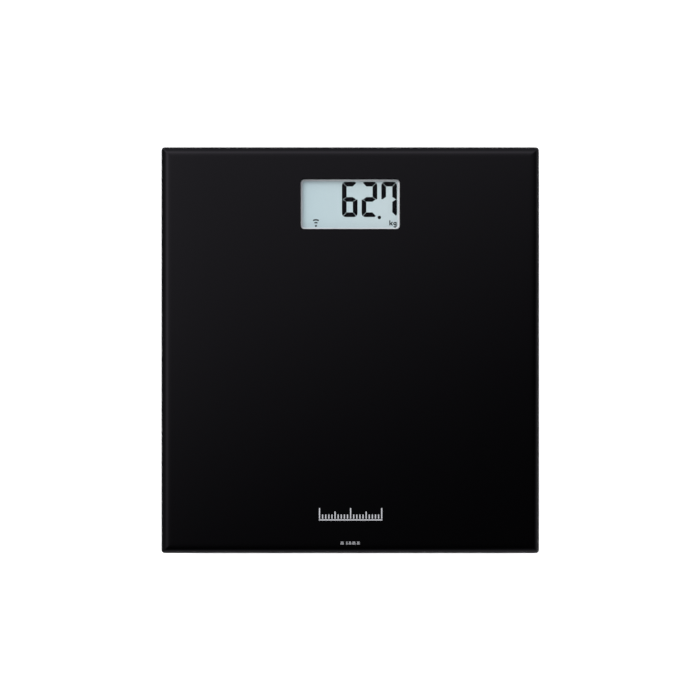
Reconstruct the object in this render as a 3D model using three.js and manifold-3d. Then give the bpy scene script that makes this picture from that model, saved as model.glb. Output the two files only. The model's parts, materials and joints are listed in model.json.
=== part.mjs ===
// A digital bathroom scale: a back-printed glass platform bonded to a shallow plastic tray that stands on
// four load cells, with a display and its board under a clear window, four AAA cells behind a hinged door
// and a unit button beside it.
// Millimetres. +Z is up, the floor is Z = 0, X runs left to right and Y from the front to the display end.
import * as THREE from "three";
import { mergeVertices } from "three/addons/utils/BufferGeometryUtils.js";
import Module from "manifold-3d";

const wasm = await Module();
wasm.setup();

// ---- Driving dimensions ----
const WIDTH = 280;
const DEPTH = 301;
const HEIGHT = 25;
const GLASS_THICKNESS = 5;
const PRINT_THICKNESS = 0.3;
const TAPE_THICKNESS = 0.8;
const TRAY_BOTTOM = 5; // how far the feet hold the tray off the floor
const WALL = 1.8;
const SEAT = 0.1; // gap between faces that rest on each other
const FIT = 0.3; // gap all round a piece that drops into or turns in another
const ROOT = 0.4; // how far a rib, boss or lug is sunk into what it grows from

const GLASS_BOTTOM = HEIGHT - GLASS_THICKNESS;
const PRINT_BOTTOM = GLASS_BOTTOM - SEAT - PRINT_THICKNESS;
const TAPE_BOTTOM = PRINT_BOTTOM - SEAT - TAPE_THICKNESS;
const TRAY_TOP = TAPE_BOTTOM - SEAT;
const FLOOR_TOP = TRAY_BOTTOM + WALL;

// Display window in the print, and the display under it.
const WINDOW = { width: 73.5, depth: 37, radius: 2.6, y: 108.4 };
const LCD = { width: 80, depth: 42, bottom: 14.4, top: 17.2 };
const LCD_FRAME = { width: 88, depth: 50, top: 18.3, openWidth: 71, openDepth: 34.6 };

// Circuit board, on four bosses under the display.
const BOARD = { width: 124, y0: 79.5, y1: 134, bottom: 10.8, top: 12.4 };
const BOSS = { x: 57, ys: [86.5, 129.5], radius: 3.2, hole: 1.1 };
const CONTROLLER = { x: -51, y: 106.5 };

// Load cells and feet, one at each corner.
const FOOT_X = 101;
const FOOT_Y = 111.5;
const FOOT_RADIUS = 17.5;
const PAD_RADIUS = 16.4;
const WELL_RADIUS = 25.3;
const WELL_WALL = 2;
const CELL = { side: 34, radius: 2, bottom: 9.6, top: 12.5 };
const GAUGE = { width: 8, depth: 6, y: 5, height: 1 };
const WELL_CEILING = { bottom: 15.2, top: 17.2 };

// Stiffening ribs: beside the battery bay, through the wells' inner sides, and across the tray.
const RIB = { half: 0.8, besideBay: 34, besideWells: 88, across: [-75, -37.5, 0, 37.5, 74], end: 78 };

// Leads are flat three-core ribbons that lie at one level in slots through the ribs.
const LEAD = { width: 3.6, thickness: 1.1, z: 13.2, lane: 68, frontEnd: 96, endX: 56.5, bend: 7 };
const SLOT = { width: 6, bottom: 12.2 };
const SUPPLY_LEAD = 1.3;

// Battery bay: four AAA cells side by side along Y, above the door.
const AAA = { radius: 5.25, length: 44.5, nubRadius: 1.9, nub: 1.2 };
const CELL_PITCH = 11.5;
const BAY = { halfWidth: 23, y0: 8, y1: 60, wall: 2.4, ceiling: 17.5 };
const BATTERY_Z = 12;
const CONTACT_THICKNESS = 0.5;
const TAIL = { halfWidth: 1.5, bottom: 12.8, top: 13.4 }; // a terminal's end, where its lead is soldered
const DOOR = { halfWidth: 23.9, y0: 7.1, y1: 61.1, thickness: 1.6, tabHalfWidth: 8, tabEnd: 67.1 };
const TONGUE = { x: CELL_PITCH, width: 3.2, y0: 4.2, bottom: 7, top: 8.2 };

const BUTTON = { x: -40, y: 93, radius: 4.7, flange: 6.2, top: 7.5 };

const ROUND = 24; // facets of a full circle
const CORNER_STEPS = 4; // facets of a rounded corner

// ---- Shape helpers ----
function toSolid(geometry) {
  const bare = geometry.clone();
  bare.deleteAttribute("normal");
  bare.deleteAttribute("uv");
  const merged = mergeVertices(bare);
  return new wasm.Manifold(
    new wasm.Mesh({
      numProp: 3,
      vertProperties: new Float32Array(merged.attributes.position.array),
      triVerts: new Uint32Array(merged.index.array),
    }),
  );
}

function toGeometry(solid) {
  const mesh = solid.getMesh();
  const geometry = new THREE.BufferGeometry();
  geometry.setAttribute("position", new THREE.BufferAttribute(mesh.vertProperties, 3));
  geometry.setIndex(new THREE.BufferAttribute(mesh.triVerts, 1));
  geometry.computeVertexNormals();
  return geometry;
}

const join = (parts) => toGeometry(parts.map(toSolid).reduce((a, b) => a.add(b)));
const cut = (body, tools) => toGeometry(tools.map(toSolid).reduce((a, b) => a.subtract(b), toSolid(body)));
const common = (a, b) => toGeometry(toSolid(a).intersect(toSolid(b)));

function block(x0, x1, y0, y1, z0, z1) {
  const box = new THREE.BoxGeometry(x1 - x0, y1 - y0, z1 - z0);
  return box.translate((x0 + x1) / 2, (y0 + y1) / 2, (z0 + z1) / 2);
}

function disc(radius, z0, z1, x = 0, y = 0, facets = ROUND) {
  return new THREE.CylinderGeometry(radius, radius, z1 - z0, facets)
    .rotateX(Math.PI / 2)
    .translate(x, y, (z0 + z1) / 2);
}

// Turns a profile of [radius, z] points about the Z axis.
function turned(profile, facets = ROUND) {
  const points = profile.map(([r, z]) => new THREE.Vector2(r, z));
  return new THREE.LatheGeometry(points, facets).rotateX(Math.PI / 2);
}

function roundedRectangle(width, depth, radius, y = 0) {
  const [w, d] = [width / 2 - radius, depth / 2 - radius];
  const shape = new THREE.Shape();
  shape.absarc(w, y + d, radius, 0, Math.PI / 2);
  shape.absarc(-w, y + d, radius, Math.PI / 2, Math.PI);
  shape.absarc(-w, y - d, radius, Math.PI, 1.5 * Math.PI);
  shape.absarc(w, y - d, radius, 1.5 * Math.PI, 2 * Math.PI);
  return shape;
}

function slab(shape, z0, z1) {
  const options = { depth: z1 - z0, bevelEnabled: false, curveSegments: CORNER_STEPS };
  return new THREE.ExtrudeGeometry(shape, options).translate(0, 0, z0);
}

// One closed body through a stack of rounded rectangles, each given by how far it is inset from the glass.
function stack(levels) {
  const positions = [];
  const indices = [];
  const count = 4 * (CORNER_STEPS + 1);
  for (const { inset, z, radius } of levels) {
    const w = WIDTH / 2 - inset - radius;
    const d = DEPTH / 2 - inset - radius;
    for (let corner = 0; corner < 4; corner++) {
      const cx = corner === 0 || corner === 3 ? w : -w;
      const cy = corner < 2 ? d : -d;
      for (let i = 0; i <= CORNER_STEPS; i++) {
        const angle = ((corner + i / CORNER_STEPS) * Math.PI) / 2;
        positions.push(cx + radius * Math.cos(angle), cy + radius * Math.sin(angle), z);
      }
    }
  }
  for (let level = 0; level + 1 < levels.length; level++) {
    for (let i = 0; i < count; i++) {
      const a = level * count + i;
      const b = level * count + ((i + 1) % count);
      indices.push(a, b, b + count, a, b + count, a + count);
    }
  }
  const top = (levels.length - 1) * count;
  for (let i = 1; i + 1 < count; i++) indices.push(0, i + 1, i, top, top + i, top + i + 1);
  const geometry = new THREE.BufferGeometry();
  geometry.setAttribute("position", new THREE.Float32BufferAttribute(positions, 3));
  geometry.setIndex(indices);
  geometry.computeVertexNormals();
  return geometry;
}

// ---- Materials ----
const material = (color, roughness, metalness = 0) =>
  new THREE.MeshStandardMaterial({ color, roughness, metalness });
const glass = new THREE.MeshStandardMaterial({
  color: 0xdfeaea,
  roughness: 0.02,
  metalness: 0,
  transparent: true,
  opacity: 0.3,
});
const print = material(0x0c0c0e, 0.3);
const foam = material(0x24262a, 0.9);
const blackPlastic = material(0x17181a, 0.55);
const darkPlastic = material(0x1f2023, 0.6);
const greyRubber = material(0x3a3c3f, 0.85);
const steel = material(0xa9acb0, 0.35, 1);
const epoxy = material(0xe8e6df, 0.5);
const leadSleeve = material(0xb9bcc2, 0.5);
const whitePlastic = material(0xe4e7ea, 0.5);
const lcdGlass = material(0xbecdd2, 0.25);
const conductiveRubber = material(0xd8a9b0, 0.7);
const boardGreen = material(0x1d6a43, 0.45);
const blackEpoxy = material(0x101012, 0.3);
const greyButton = material(0x8b9095, 0.5);
const batterySleeve = material(0x3c6e94, 0.35, 0.4);
const nickel = material(0xc9c6bd, 0.25, 1);
const redSleeve = material(0xa3201d, 0.45);
const blackSleeve = material(0x151515, 0.45);

const scale = new THREE.Group();

function place(name, geometry, look, parent = scale) {
  const mesh = new THREE.Mesh(geometry, look);
  mesh.name = name;
  parent.add(mesh);
  return mesh;
}

// ---- Platform ----
// The rim is ground round, and the top falls away gently over the last 6.5 mm before it.
function glassPlatform() {
  const edge = [
    [0.8, 0],
    [0.25, 0.25],
    [0, 0.8],
    [0, 3.2],
    [0.15, 3.75],
    [0.55, 4.25],
    [1.3, 4.58],
    [2.6, 4.8],
    [4.4, 4.94],
    [6.5, GLASS_THICKNESS],
  ];
  const cornerRadius = 2.5;
  const sharpest = 0.4;
  return stack(
    edge.map(([inset, rise]) => ({
      inset,
      z: GLASS_BOTTOM + rise,
      radius: Math.max(cornerRadius - inset, sharpest),
    })),
  );
}

function backingPrint() {
  const inset = 0.9;
  const sheet = roundedRectangle(WIDTH - 2 * inset, DEPTH - 2 * inset, 1.6);
  sheet.holes.push(roundedRectangle(WINDOW.width, WINDOW.depth, WINDOW.radius, WINDOW.y));
  return slab(sheet, PRINT_BOTTOM, PRINT_BOTTOM + PRINT_THICKNESS);
}

function bondTape() {
  const inset = 5;
  const band = 7;
  const frame = roundedRectangle(WIDTH - 2 * inset, DEPTH - 2 * inset, 4);
  frame.holes.push(roundedRectangle(WIDTH - 2 * (inset + band), DEPTH - 2 * (inset + band), 1));
  return slab(frame, TAPE_BOTTOM, TAPE_BOTTOM + TAPE_THICKNESS);
}

// ---- Tray ----
// The outer skin slopes in under the glass.
// The cavity follows it one wall inside, up to a flange for the tape.
const TRAY_SKIN = [
  { inset: 11.6, z: TRAY_BOTTOM, radius: 9 },
  { inset: 11, z: 5.4, radius: 9 },
  { inset: 6.4, z: 9.5, radius: 7 },
  { inset: 4.2, z: 14, radius: 5.5 },
  { inset: 3.4, z: TRAY_TOP, radius: 5 },
];
const TRAY_CAVITY = [
  { inset: 11.6, z: FLOOR_TOP, radius: 7 },
  { inset: 8.6, z: 9.5, radius: 5.5 },
  { inset: 6.4, z: 14, radius: 4.5 },
  { inset: 6.1, z: TRAY_TOP - WALL, radius: 4.5 },
  { inset: 12.4, z: TRAY_TOP - WALL, radius: 2 },
  { inset: 12.4, z: TRAY_TOP + 1, radius: 2 },
];
const CORNERS = [
  { name: "back_left", x: -FOOT_X, y: FOOT_Y, turn: 0 },
  { name: "back_right", x: FOOT_X, y: FOOT_Y, turn: Math.PI },
  { name: "front_left", x: -FOOT_X, y: -FOOT_Y, turn: 0 },
  { name: "front_right", x: FOOT_X, y: -FOOT_Y, turn: Math.PI },
];
const inward = (corner) => -Math.sign(corner.x);
// A turned load cell has its gauge on the other side of its centre.
const gaugeY = (corner) => corner.y + GAUGE.y * Math.cos(corner.turn);

// A vertical slab of the tray cut away so that a lead can pass through the ribs.
function wayThrough(x0, x1, y0, y1) {
  return block(x0, x1, y0, y1, SLOT.bottom, HEIGHT);
}

function ribs() {
  const { half } = RIB;
  const reach = { x: WIDTH / 2, y: DEPTH / 2 };
  const along = (x, y0, y1) => block(x - half, x + half, y0, y1, FLOOR_TOP - ROOT, TRAY_TOP);
  const across = (y, x0, x1) => block(x0, x1, y - half, y + half, FLOOR_TOP - ROOT, TRAY_TOP);
  const clearOfBoard = BOARD.width / 2 + 10;
  const grid = join([
    along(0, -reach.y, BAY.y0),
    ...[-RIB.besideBay, RIB.besideBay].map((x) => along(x, -reach.y, RIB.end)),
    ...[-RIB.besideWells, RIB.besideWells].map((x) => along(x, -FOOT_Y, FOOT_Y)),
    ...[-FOOT_Y, ...RIB.across].map((y) => across(y, -reach.x, reach.x)),
    across(FOOT_Y, -reach.x, -clearOfBoard),
    across(FOOT_Y, clearOfBoard, reach.x),
  ]);
  const wells = CORNERS.map(({ x, y }) => disc(WELL_RADIUS + WELL_WALL / 2, 0, HEIGHT, x, y));
  const bay = block(-BAY.halfWidth - 1, BAY.halfWidth + 1, BAY.y0 - 1, DOOR.tabEnd + 1, 0, HEIGHT);
  const laneWays = [-1, 1].map((side) => {
    const x = side * LEAD.lane;
    return wayThrough(x - SLOT.width / 2, x + SLOT.width / 2, -reach.y, BOARD.y1);
  });
  const supplyWays = [-1, 1].map((side) => {
    const x = side * CELL_PITCH * 1.5;
    return wayThrough(x - SLOT.width / 2, x + SLOT.width / 2, BAY.y1, BOARD.y0);
  });
  const sideWays = CORNERS.map((corner) => {
    const y = gaugeY(corner);
    const [x0, x1] = [corner.x, -inward(corner) * LEAD.lane].sort((a, b) => a - b);
    return wayThrough(x0, x1, y - SLOT.width / 2, y + SLOT.width / 2);
  });
  const insideSkin = TRAY_SKIN.map((level) => ({ ...level, inset: level.inset + WALL / 2 }));
  return common(cut(grid, [...wells, bay, ...laneWays, ...supplyWays, ...sideWays]), stack(insideSkin));
}

// A round pocket open below, whose ceiling bears on the load cell's outer frame through four pillars.
function wellBody({ x, y }) {
  const outer = WELL_RADIUS + WELL_WALL;
  const bar = 1; // half the width of the cross that backs the ceiling
  const pillar = { at: CELL.side / 2 - 3, half: 2.5 };
  const pillars = [-1, 1].flatMap((i) =>
    [-1, 1].map((j) =>
      block(
        x + i * pillar.at - pillar.half,
        x + i * pillar.at + pillar.half,
        y + j * pillar.at - pillar.half,
        y + j * pillar.at + pillar.half,
        CELL.top + SEAT,
        WELL_CEILING.top,
      ),
    ),
  );
  const cup = cut(disc(outer, TRAY_BOTTOM, TRAY_TOP, x, y), [
    disc(WELL_RADIUS, 0, WELL_CEILING.bottom, x, y),
    disc(WELL_RADIUS, WELL_CEILING.top, HEIGHT, x, y),
  ]);
  return join([
    cup,
    ...pillars,
    block(x - WELL_RADIUS - bar, x + WELL_RADIUS + bar, y - bar, y + bar, WELL_CEILING.bottom, TRAY_TOP),
    block(x - bar, x + bar, y - WELL_RADIUS - bar, y + WELL_RADIUS + bar, WELL_CEILING.bottom, TRAY_TOP),
  ]);
}

function batteryBay() {
  const { halfWidth, y0, y1, wall, ceiling } = BAY;
  const box = block(-halfWidth - wall, halfWidth + wall, y0 - wall, y1 + wall, FLOOR_TOP - ROOT, TRAY_TOP);
  const room = block(-halfWidth, halfWidth, y0, y1, 0, ceiling);
  const tongueSlots = [-1, 1].map((side) => {
    const x = side * TONGUE.x;
    const half = TONGUE.width / 2 + FIT;
    return block(x - half, x + half, y0 - wall - 1, y0 + 1, FLOOR_TOP, TONGUE.top + 2);
  });
  const tailSlots = [-1, 1].map((side) => {
    const x = side * CELL_PITCH * 1.5;
    const half = TAIL.halfWidth + FIT;
    return block(x - half, x + half, y1 - 1, y1 + wall + 1, TAIL.bottom - FIT, TAIL.top + FIT);
  });
  return cut(box, [room, ...tongueSlots, ...tailSlots]);
}

function baseTray() {
  const shell = cut(stack(TRAY_SKIN), [stack(TRAY_CAVITY)]);
  const bosses = BOSS.ys.flatMap((y) =>
    [-BOSS.x, BOSS.x].map((x) => disc(BOSS.radius, FLOOR_TOP - ROOT, BOARD.bottom - SEAT, x, y, 12)),
  );
  const bossHoles = BOSS.ys.flatMap((y) =>
    [-BOSS.x, BOSS.x].map((x) => disc(BOSS.hole, FLOOR_TOP, HEIGHT, x, y, 12)),
  );
  const body = join([shell, ribs(), batteryBay(), ...bosses, ...CORNERS.map(wellBody)]);
  const wellMouths = CORNERS.map(({ x, y }) => disc(WELL_RADIUS, 0, FLOOR_TOP + 1, x, y));
  const leadGates = CORNERS.map((corner) => {
    const y = gaugeY(corner);
    const x = corner.x + inward(corner) * (WELL_RADIUS + WELL_WALL / 2);
    const half = SLOT.width / 2;
    return block(x - half, x + half, y - half, y + half, SLOT.bottom, WELL_CEILING.bottom);
  });
  const doorway = block(
    -DOOR.halfWidth - FIT,
    DOOR.halfWidth + FIT,
    DOOR.y0 - FIT,
    DOOR.y1 + FIT,
    0,
    FLOOR_TOP,
  );
  const tabWay = block(
    -DOOR.tabHalfWidth - FIT,
    DOOR.tabHalfWidth + FIT,
    DOOR.y1,
    DOOR.tabEnd + FIT,
    0,
    FLOOR_TOP + 1,
  );
  const scoopRadius = 12;
  const scoop = new THREE.CylinderGeometry(scoopRadius, scoopRadius, 2 * DOOR.tabHalfWidth, 48)
    .rotateZ(Math.PI / 2)
    .translate(0, DOOR.tabEnd + 3.5, TRAY_BOTTOM + 1 - scoopRadius);
  const buttonHole = disc(BUTTON.radius + FIT, 0, FLOOR_TOP + 1, BUTTON.x, BUTTON.y);
  const bayMouth = block(-BAY.halfWidth, BAY.halfWidth, BAY.y0, BAY.y1, 0, FLOOR_TOP + 1);
  return cut(body, [
    ...wellMouths,
    ...leadGates,
    ...bossHoles,
    doorway,
    bayMouth,
    tabWay,
    scoop,
    buttonHole,
  ]);
}

// ---- Corner assemblies ----
// The outer frame is held by the tray; the foot's stem pushes up on the tongue inside it.
function loadCell() {
  const plate = roundedRectangle(CELL.side, CELL.side, CELL.radius);
  const tongue = { half: 6, end: -11, root: 11 };
  const gap = 2;
  const slot = new THREE.Path([
    new THREE.Vector2(-tongue.half - gap, tongue.root),
    new THREE.Vector2(-tongue.half - gap, tongue.end - gap),
    new THREE.Vector2(tongue.half + gap, tongue.end - gap),
    new THREE.Vector2(tongue.half + gap, tongue.root),
    new THREE.Vector2(tongue.half, tongue.root),
    new THREE.Vector2(tongue.half, tongue.end),
    new THREE.Vector2(-tongue.half, tongue.end),
    new THREE.Vector2(-tongue.half, tongue.root),
  ]);
  plate.holes.push(slot);
  return slab(plate, CELL.bottom, CELL.top);
}

function strainGauge() {
  const z = CELL.top + SEAT;
  const bevel = 0.3;
  const { width, depth, y, height } = GAUGE;
  const patch = new THREE.ExtrudeGeometry(roundedRectangle(width - 2 * bevel, depth - 2 * bevel, 1, y), {
    depth: height - 2 * bevel,
    bevelThickness: bevel,
    bevelSize: bevel,
    bevelSegments: 1,
    curveSegments: 1,
  });
  return patch.translate(0, 0, z + bevel);
}

function footCup() {
  const seat = 3.6;
  const flange = { radius: 19, bottom: 7.2, top: 8.4 };
  return turned([
    [0, seat],
    [PAD_RADIUS + 0.2, seat],
    [PAD_RADIUS + 0.2, 1.2],
    [FOOT_RADIUS - 0.6, 1.2],
    [FOOT_RADIUS, 1.8],
    [FOOT_RADIUS, flange.bottom],
    [flange.radius, flange.bottom],
    [flange.radius, flange.top],
    [4, flange.top],
    [3.4, 9],
    [0, 9],
  ]);
}

function footPad() {
  return turned([
    [0, 0],
    [PAD_RADIUS - 1, 0],
    [PAD_RADIUS, 0.8],
    [PAD_RADIUS, 3.5],
    [0, 3.5],
  ]);
}

// A ring flush with the tray's underside that keeps the foot in, with four prongs up to the load cell.
function cellRetainer() {
  const outer = WELL_RADIUS - FIT;
  const inner = FOOT_RADIUS + 0.4;
  const top = FLOOR_TOP - SEAT;
  const ring = cut(disc(outer, TRAY_BOTTOM, top), [disc(inner, 0, HEIGHT)]);
  const arm = { from: 19.6, to: 23.8, half: 2.5 };
  const prong = block(arm.from, arm.to, -arm.half, arm.half, top - ROOT, CELL.bottom - SEAT);
  const prongs = [0, 1, 2, 3].map((i) => prong.clone().rotateZ((i + 0.5) * (Math.PI / 2)));
  return join([ring, ...prongs]);
}

function addCorner(corner) {
  const group = new THREE.Group();
  group.position.set(corner.x, corner.y, 0);
  group.rotation.z = corner.turn;
  scale.add(group);
  place(`load_cell_${corner.name}`, loadCell(), steel, group);
  place(`strain_gauge_${corner.name}`, strainGauge(), epoxy, group);
  place(`cell_retainer_${corner.name}`, cellRetainer(), darkPlastic, group);
  place(`foot_cup_${corner.name}`, footCup(), darkPlastic, group);
  place(`foot_pad_${corner.name}`, footPad(), greyRubber, group);
}

// ---- Leads ----
// Straight runs in the plane Z = LEAD.z with rounded turns between them.
function leadPath(corners, bend) {
  const points = corners.map(([x, y]) => new THREE.Vector3(x, y, LEAD.z));
  const path = new THREE.CurvePath();
  let start = points[0];
  for (let i = 1; i + 1 < points.length; i++) {
    const before = points[i].clone().lerp(points[i - 1], bend / points[i].distanceTo(points[i - 1]));
    const after = points[i].clone().lerp(points[i + 1], bend / points[i].distanceTo(points[i + 1]));
    path.add(new THREE.LineCurve3(start, before));
    path.add(new THREE.QuadraticBezierCurve3(before, points[i], after));
    start = after;
  }
  path.add(new THREE.LineCurve3(start, points.at(-1)));
  return path;
}

function ribbon(corners, width, thickness, steps) {
  const [w, d] = [thickness / 2, width / 2];
  const bevel = w * 0.6;
  const section = new THREE.Shape([
    new THREE.Vector2(w, d - bevel),
    new THREE.Vector2(w - bevel, d),
    new THREE.Vector2(bevel - w, d),
    new THREE.Vector2(-w, d - bevel),
    new THREE.Vector2(-w, bevel - d),
    new THREE.Vector2(bevel - w, -d),
    new THREE.Vector2(w - bevel, -d),
    new THREE.Vector2(w, bevel - d),
  ]);
  const path = leadPath(corners, LEAD.bend);
  return new THREE.ExtrudeGeometry(section, { steps, extrudePath: path });
}

function cellLead(corner) {
  const side = inward(corner);
  const y = gaugeY(corner);
  const start = [corner.x + side * (GAUGE.width / 2 + 0.3), y];
  if (corner.y > 0) return ribbon([start, [-side * LEAD.endX, y]], LEAD.width, LEAD.thickness, 6);
  const lane = -side * LEAD.lane;
  const route = [start, [lane, y], [lane, LEAD.frontEnd], [-side * LEAD.endX, LEAD.frontEnd]];
  return ribbon(route, LEAD.width, LEAD.thickness, 36);
}

// ---- Display and board ----
// The display drops in from below against a chamfered lip; the window above is a little larger than the lip.
function lcdFrame() {
  const y = WINDOW.y;
  const bottom = BOARD.top + SEAT;
  const body = slab(roundedRectangle(LCD_FRAME.width, LCD_FRAME.depth, 2, y), bottom, LCD_FRAME.top);
  const pocket = block(
    -LCD.width / 2 - FIT,
    LCD.width / 2 + FIT,
    y - LCD.depth / 2 - FIT,
    y + LCD.depth / 2 + FIT,
    LCD.bottom - SEAT,
    LCD.top + SEAT,
  );
  const opening = slab(roundedRectangle(LCD_FRAME.openWidth, LCD_FRAME.openDepth, 1.6, y), LCD.top, HEIGHT);
  const back = { halfWidth: 37, halfDepth: 19.8 };
  const under = block(
    -back.halfWidth,
    back.halfWidth,
    y - back.halfDepth,
    y + back.halfDepth,
    0,
    LCD.bottom,
  );
  return cut(body, [pocket, opening, under]);
}

function lcdPanel() {
  const y = WINDOW.y;
  const [w, d] = [LCD.width / 2, LCD.depth / 2];
  return block(-w, w, y - d, y + d, LCD.bottom, LCD.top);
}

function elastomerConnector() {
  const strip = { halfWidth: 34, halfDepth: 1.2, y: WINDOW.y - 18.2 };
  return block(
    -strip.halfWidth,
    strip.halfWidth,
    strip.y - strip.halfDepth,
    strip.y + strip.halfDepth,
    BOARD.top + SEAT,
    LCD.bottom - SEAT,
  );
}

function mainBoard() {
  const sheet = new THREE.Shape([
    new THREE.Vector2(-BOARD.width / 2, BOARD.y0),
    new THREE.Vector2(BOARD.width / 2, BOARD.y0),
    new THREE.Vector2(BOARD.width / 2, BOARD.y1),
    new THREE.Vector2(-BOARD.width / 2, BOARD.y1),
  ]);
  const holes = BOSS.ys.flatMap((y) =>
    [-BOSS.x, BOSS.x].map((x) => new THREE.Path().absarc(x, y, 1.5, 0, 2 * Math.PI)),
  );
  sheet.holes.push(...holes);
  return slab(sheet, BOARD.bottom, BOARD.top);
}

function boardScrew() {
  const head = BOARD.top + SEAT;
  return turned(
    [
      [0, FLOOR_TOP + 0.6],
      [0.95, FLOOR_TOP + 1.4],
      [0.95, head],
      [2.6, head],
      [2.6, head + 0.9],
      [1.5, head + 1.6],
      [0, head + 1.6],
    ],
    12,
  );
}

function controllerBlob() {
  const z = BOARD.top + SEAT;
  return turned(
    [
      [0, z],
      [5, z],
      [4.4, z + 0.8],
      [2.8, z + 1.3],
      [0, z + 1.5],
    ],
    16,
  );
}

// A small carrier board with a shielding can on it, clear of the aerial at its right end.
function wirelessModule() {
  const z = BOARD.top + SEAT;
  const carrier = { x0: 45.5, x1: 57.5, y0: 112.4, y1: 122.4, height: 0.8 };
  const margin = 0.6;
  const aerial = 2.9;
  const can = { height: 2.2, sunk: 0.2 };
  return join([
    block(carrier.x0, carrier.x1, carrier.y0, carrier.y1, z, z + carrier.height),
    block(
      carrier.x0 + margin,
      carrier.x1 - aerial,
      carrier.y0 + margin,
      carrier.y1 - margin,
      z + carrier.height - can.sunk,
      z + can.height,
    ),
  ]);
}

function unitSwitch() {
  const { x, y } = BUTTON;
  const top = BOARD.bottom - SEAT;
  const body = { half: 3, height: 2 };
  const plunger = { radius: 1.7, bottom: BUTTON.top + 0.7, facets: 12 };
  return join([
    block(x - body.half, x + body.half, y - body.half, y + body.half, top - body.height, top),
    disc(plunger.radius, plunger.bottom, top - body.height / 2, x, y, plunger.facets),
  ]);
}

function unitButton() {
  return turned([
    [0, TRAY_BOTTOM],
    [BUTTON.radius - 0.5, TRAY_BOTTOM],
    [BUTTON.radius, TRAY_BOTTOM + 0.5],
    [BUTTON.radius, FLOOR_TOP + SEAT],
    [BUTTON.flange, FLOOR_TOP + SEAT],
    [BUTTON.flange, BUTTON.top],
    [0, BUTTON.top],
  ]).translate(BUTTON.x, BUTTON.y, 0);
}

// ---- Batteries ----
// Cells alternate; the first has its positive end at the back. Each negative end has a spring.
const CELLS = [0, 1, 2, 3].map((i) => ({
  number: i + 1,
  x: (i - 1.5) * CELL_PITCH,
  positiveBack: i % 2 === 0,
}));
const PLATE_FRONT = BAY.y0 + 0.2 + CONTACT_THICKNESS;
const PLATE_BACK = BAY.y1 - 0.2 - CONTACT_THICKNESS;

function battery({ x, positiveBack }) {
  const { radius, length, nubRadius, nub } = AAA;
  const profile = [
    [0, 0],
    [radius - 0.4, 0],
    [radius, 0.4],
    [radius, length - nub - 0.4],
    [radius - 0.4, length - nub],
    [nubRadius, length - nub],
    [nubRadius, length],
    [0, length],
  ];
  const points = profile.map(([r, along]) => new THREE.Vector2(r, along));
  const cell = new THREE.LatheGeometry(points, 20);
  if (!positiveBack) cell.rotateX(Math.PI);
  const start = positiveBack ? PLATE_BACK - SEAT - length : PLATE_FRONT + SEAT + length;
  return cell.translate(x, start, BATTERY_Z);
}

class ConeCoil extends THREE.Curve {
  constructor(from, to, { wide, narrow, turns }) {
    super();
    Object.assign(this, { from, to, wide, narrow, turns });
  }

  getPoint(t, target = new THREE.Vector3()) {
    const radius = THREE.MathUtils.lerp(this.wide, this.narrow, t);
    const angle = 2 * Math.PI * this.turns * t;
    const y = THREE.MathUtils.lerp(this.from, this.to, t);
    return target.set(radius * Math.cos(angle), y, radius * Math.sin(angle));
  }
}

function batterySpring({ x, positiveBack }) {
  const wire = 0.4;
  const coilShape = { wide: 3.3, narrow: 2.2, turns: 2.75 };
  const length = BAY.y1 - BAY.y0 - 2 * (0.2 + CONTACT_THICKNESS) - AAA.length - 3 * SEAT;
  const plate = positiveBack ? PLATE_FRONT + SEAT + wire : PLATE_BACK - SEAT - wire;
  const tip = plate + (positiveBack ? 1 : -1) * (length - 2 * wire);
  const section = new THREE.Shape().absarc(0, 0, wire, 0, 2 * Math.PI);
  const coil = new THREE.ExtrudeGeometry(section, {
    steps: 28,
    extrudePath: new ConeCoil(plate, tip, coilShape),
    curveSegments: 3,
  });
  return coil.translate(x, 0, BATTERY_Z);
}

// A flat lug behind each cell, joined by a strip over the gap that the door's tongue swings through.
function contactPlate(xs, back) {
  const half = 3.8;
  const y = back ? PLATE_BACK : PLATE_FRONT - CONTACT_THICKNESS;
  const end = y + CONTACT_THICKNESS;
  const lugs = xs.map((x) => block(x - half, x + half, y, end, BATTERY_Z - half, BATTERY_Z + half));
  return join([...lugs, block(xs[0] - 1, xs.at(-1) + 1, y, end, BATTERY_Z - 1, BATTERY_Z + half)]);
}

function terminal(x) {
  const end = BAY.y1 + BAY.wall + 1.4;
  const tail = block(x - TAIL.halfWidth, x + TAIL.halfWidth, PLATE_BACK + 0.1, end, TAIL.bottom, TAIL.top);
  return join([contactPlate([x], true), tail]);
}

function supplyLead(x) {
  const route = [
    [x, BAY.y1 + BAY.wall + 1.7],
    [x, BOARD.y0 + 3],
  ];
  return ribbon(route, SUPPLY_LEAD, SUPPLY_LEAD, 3);
}

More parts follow.
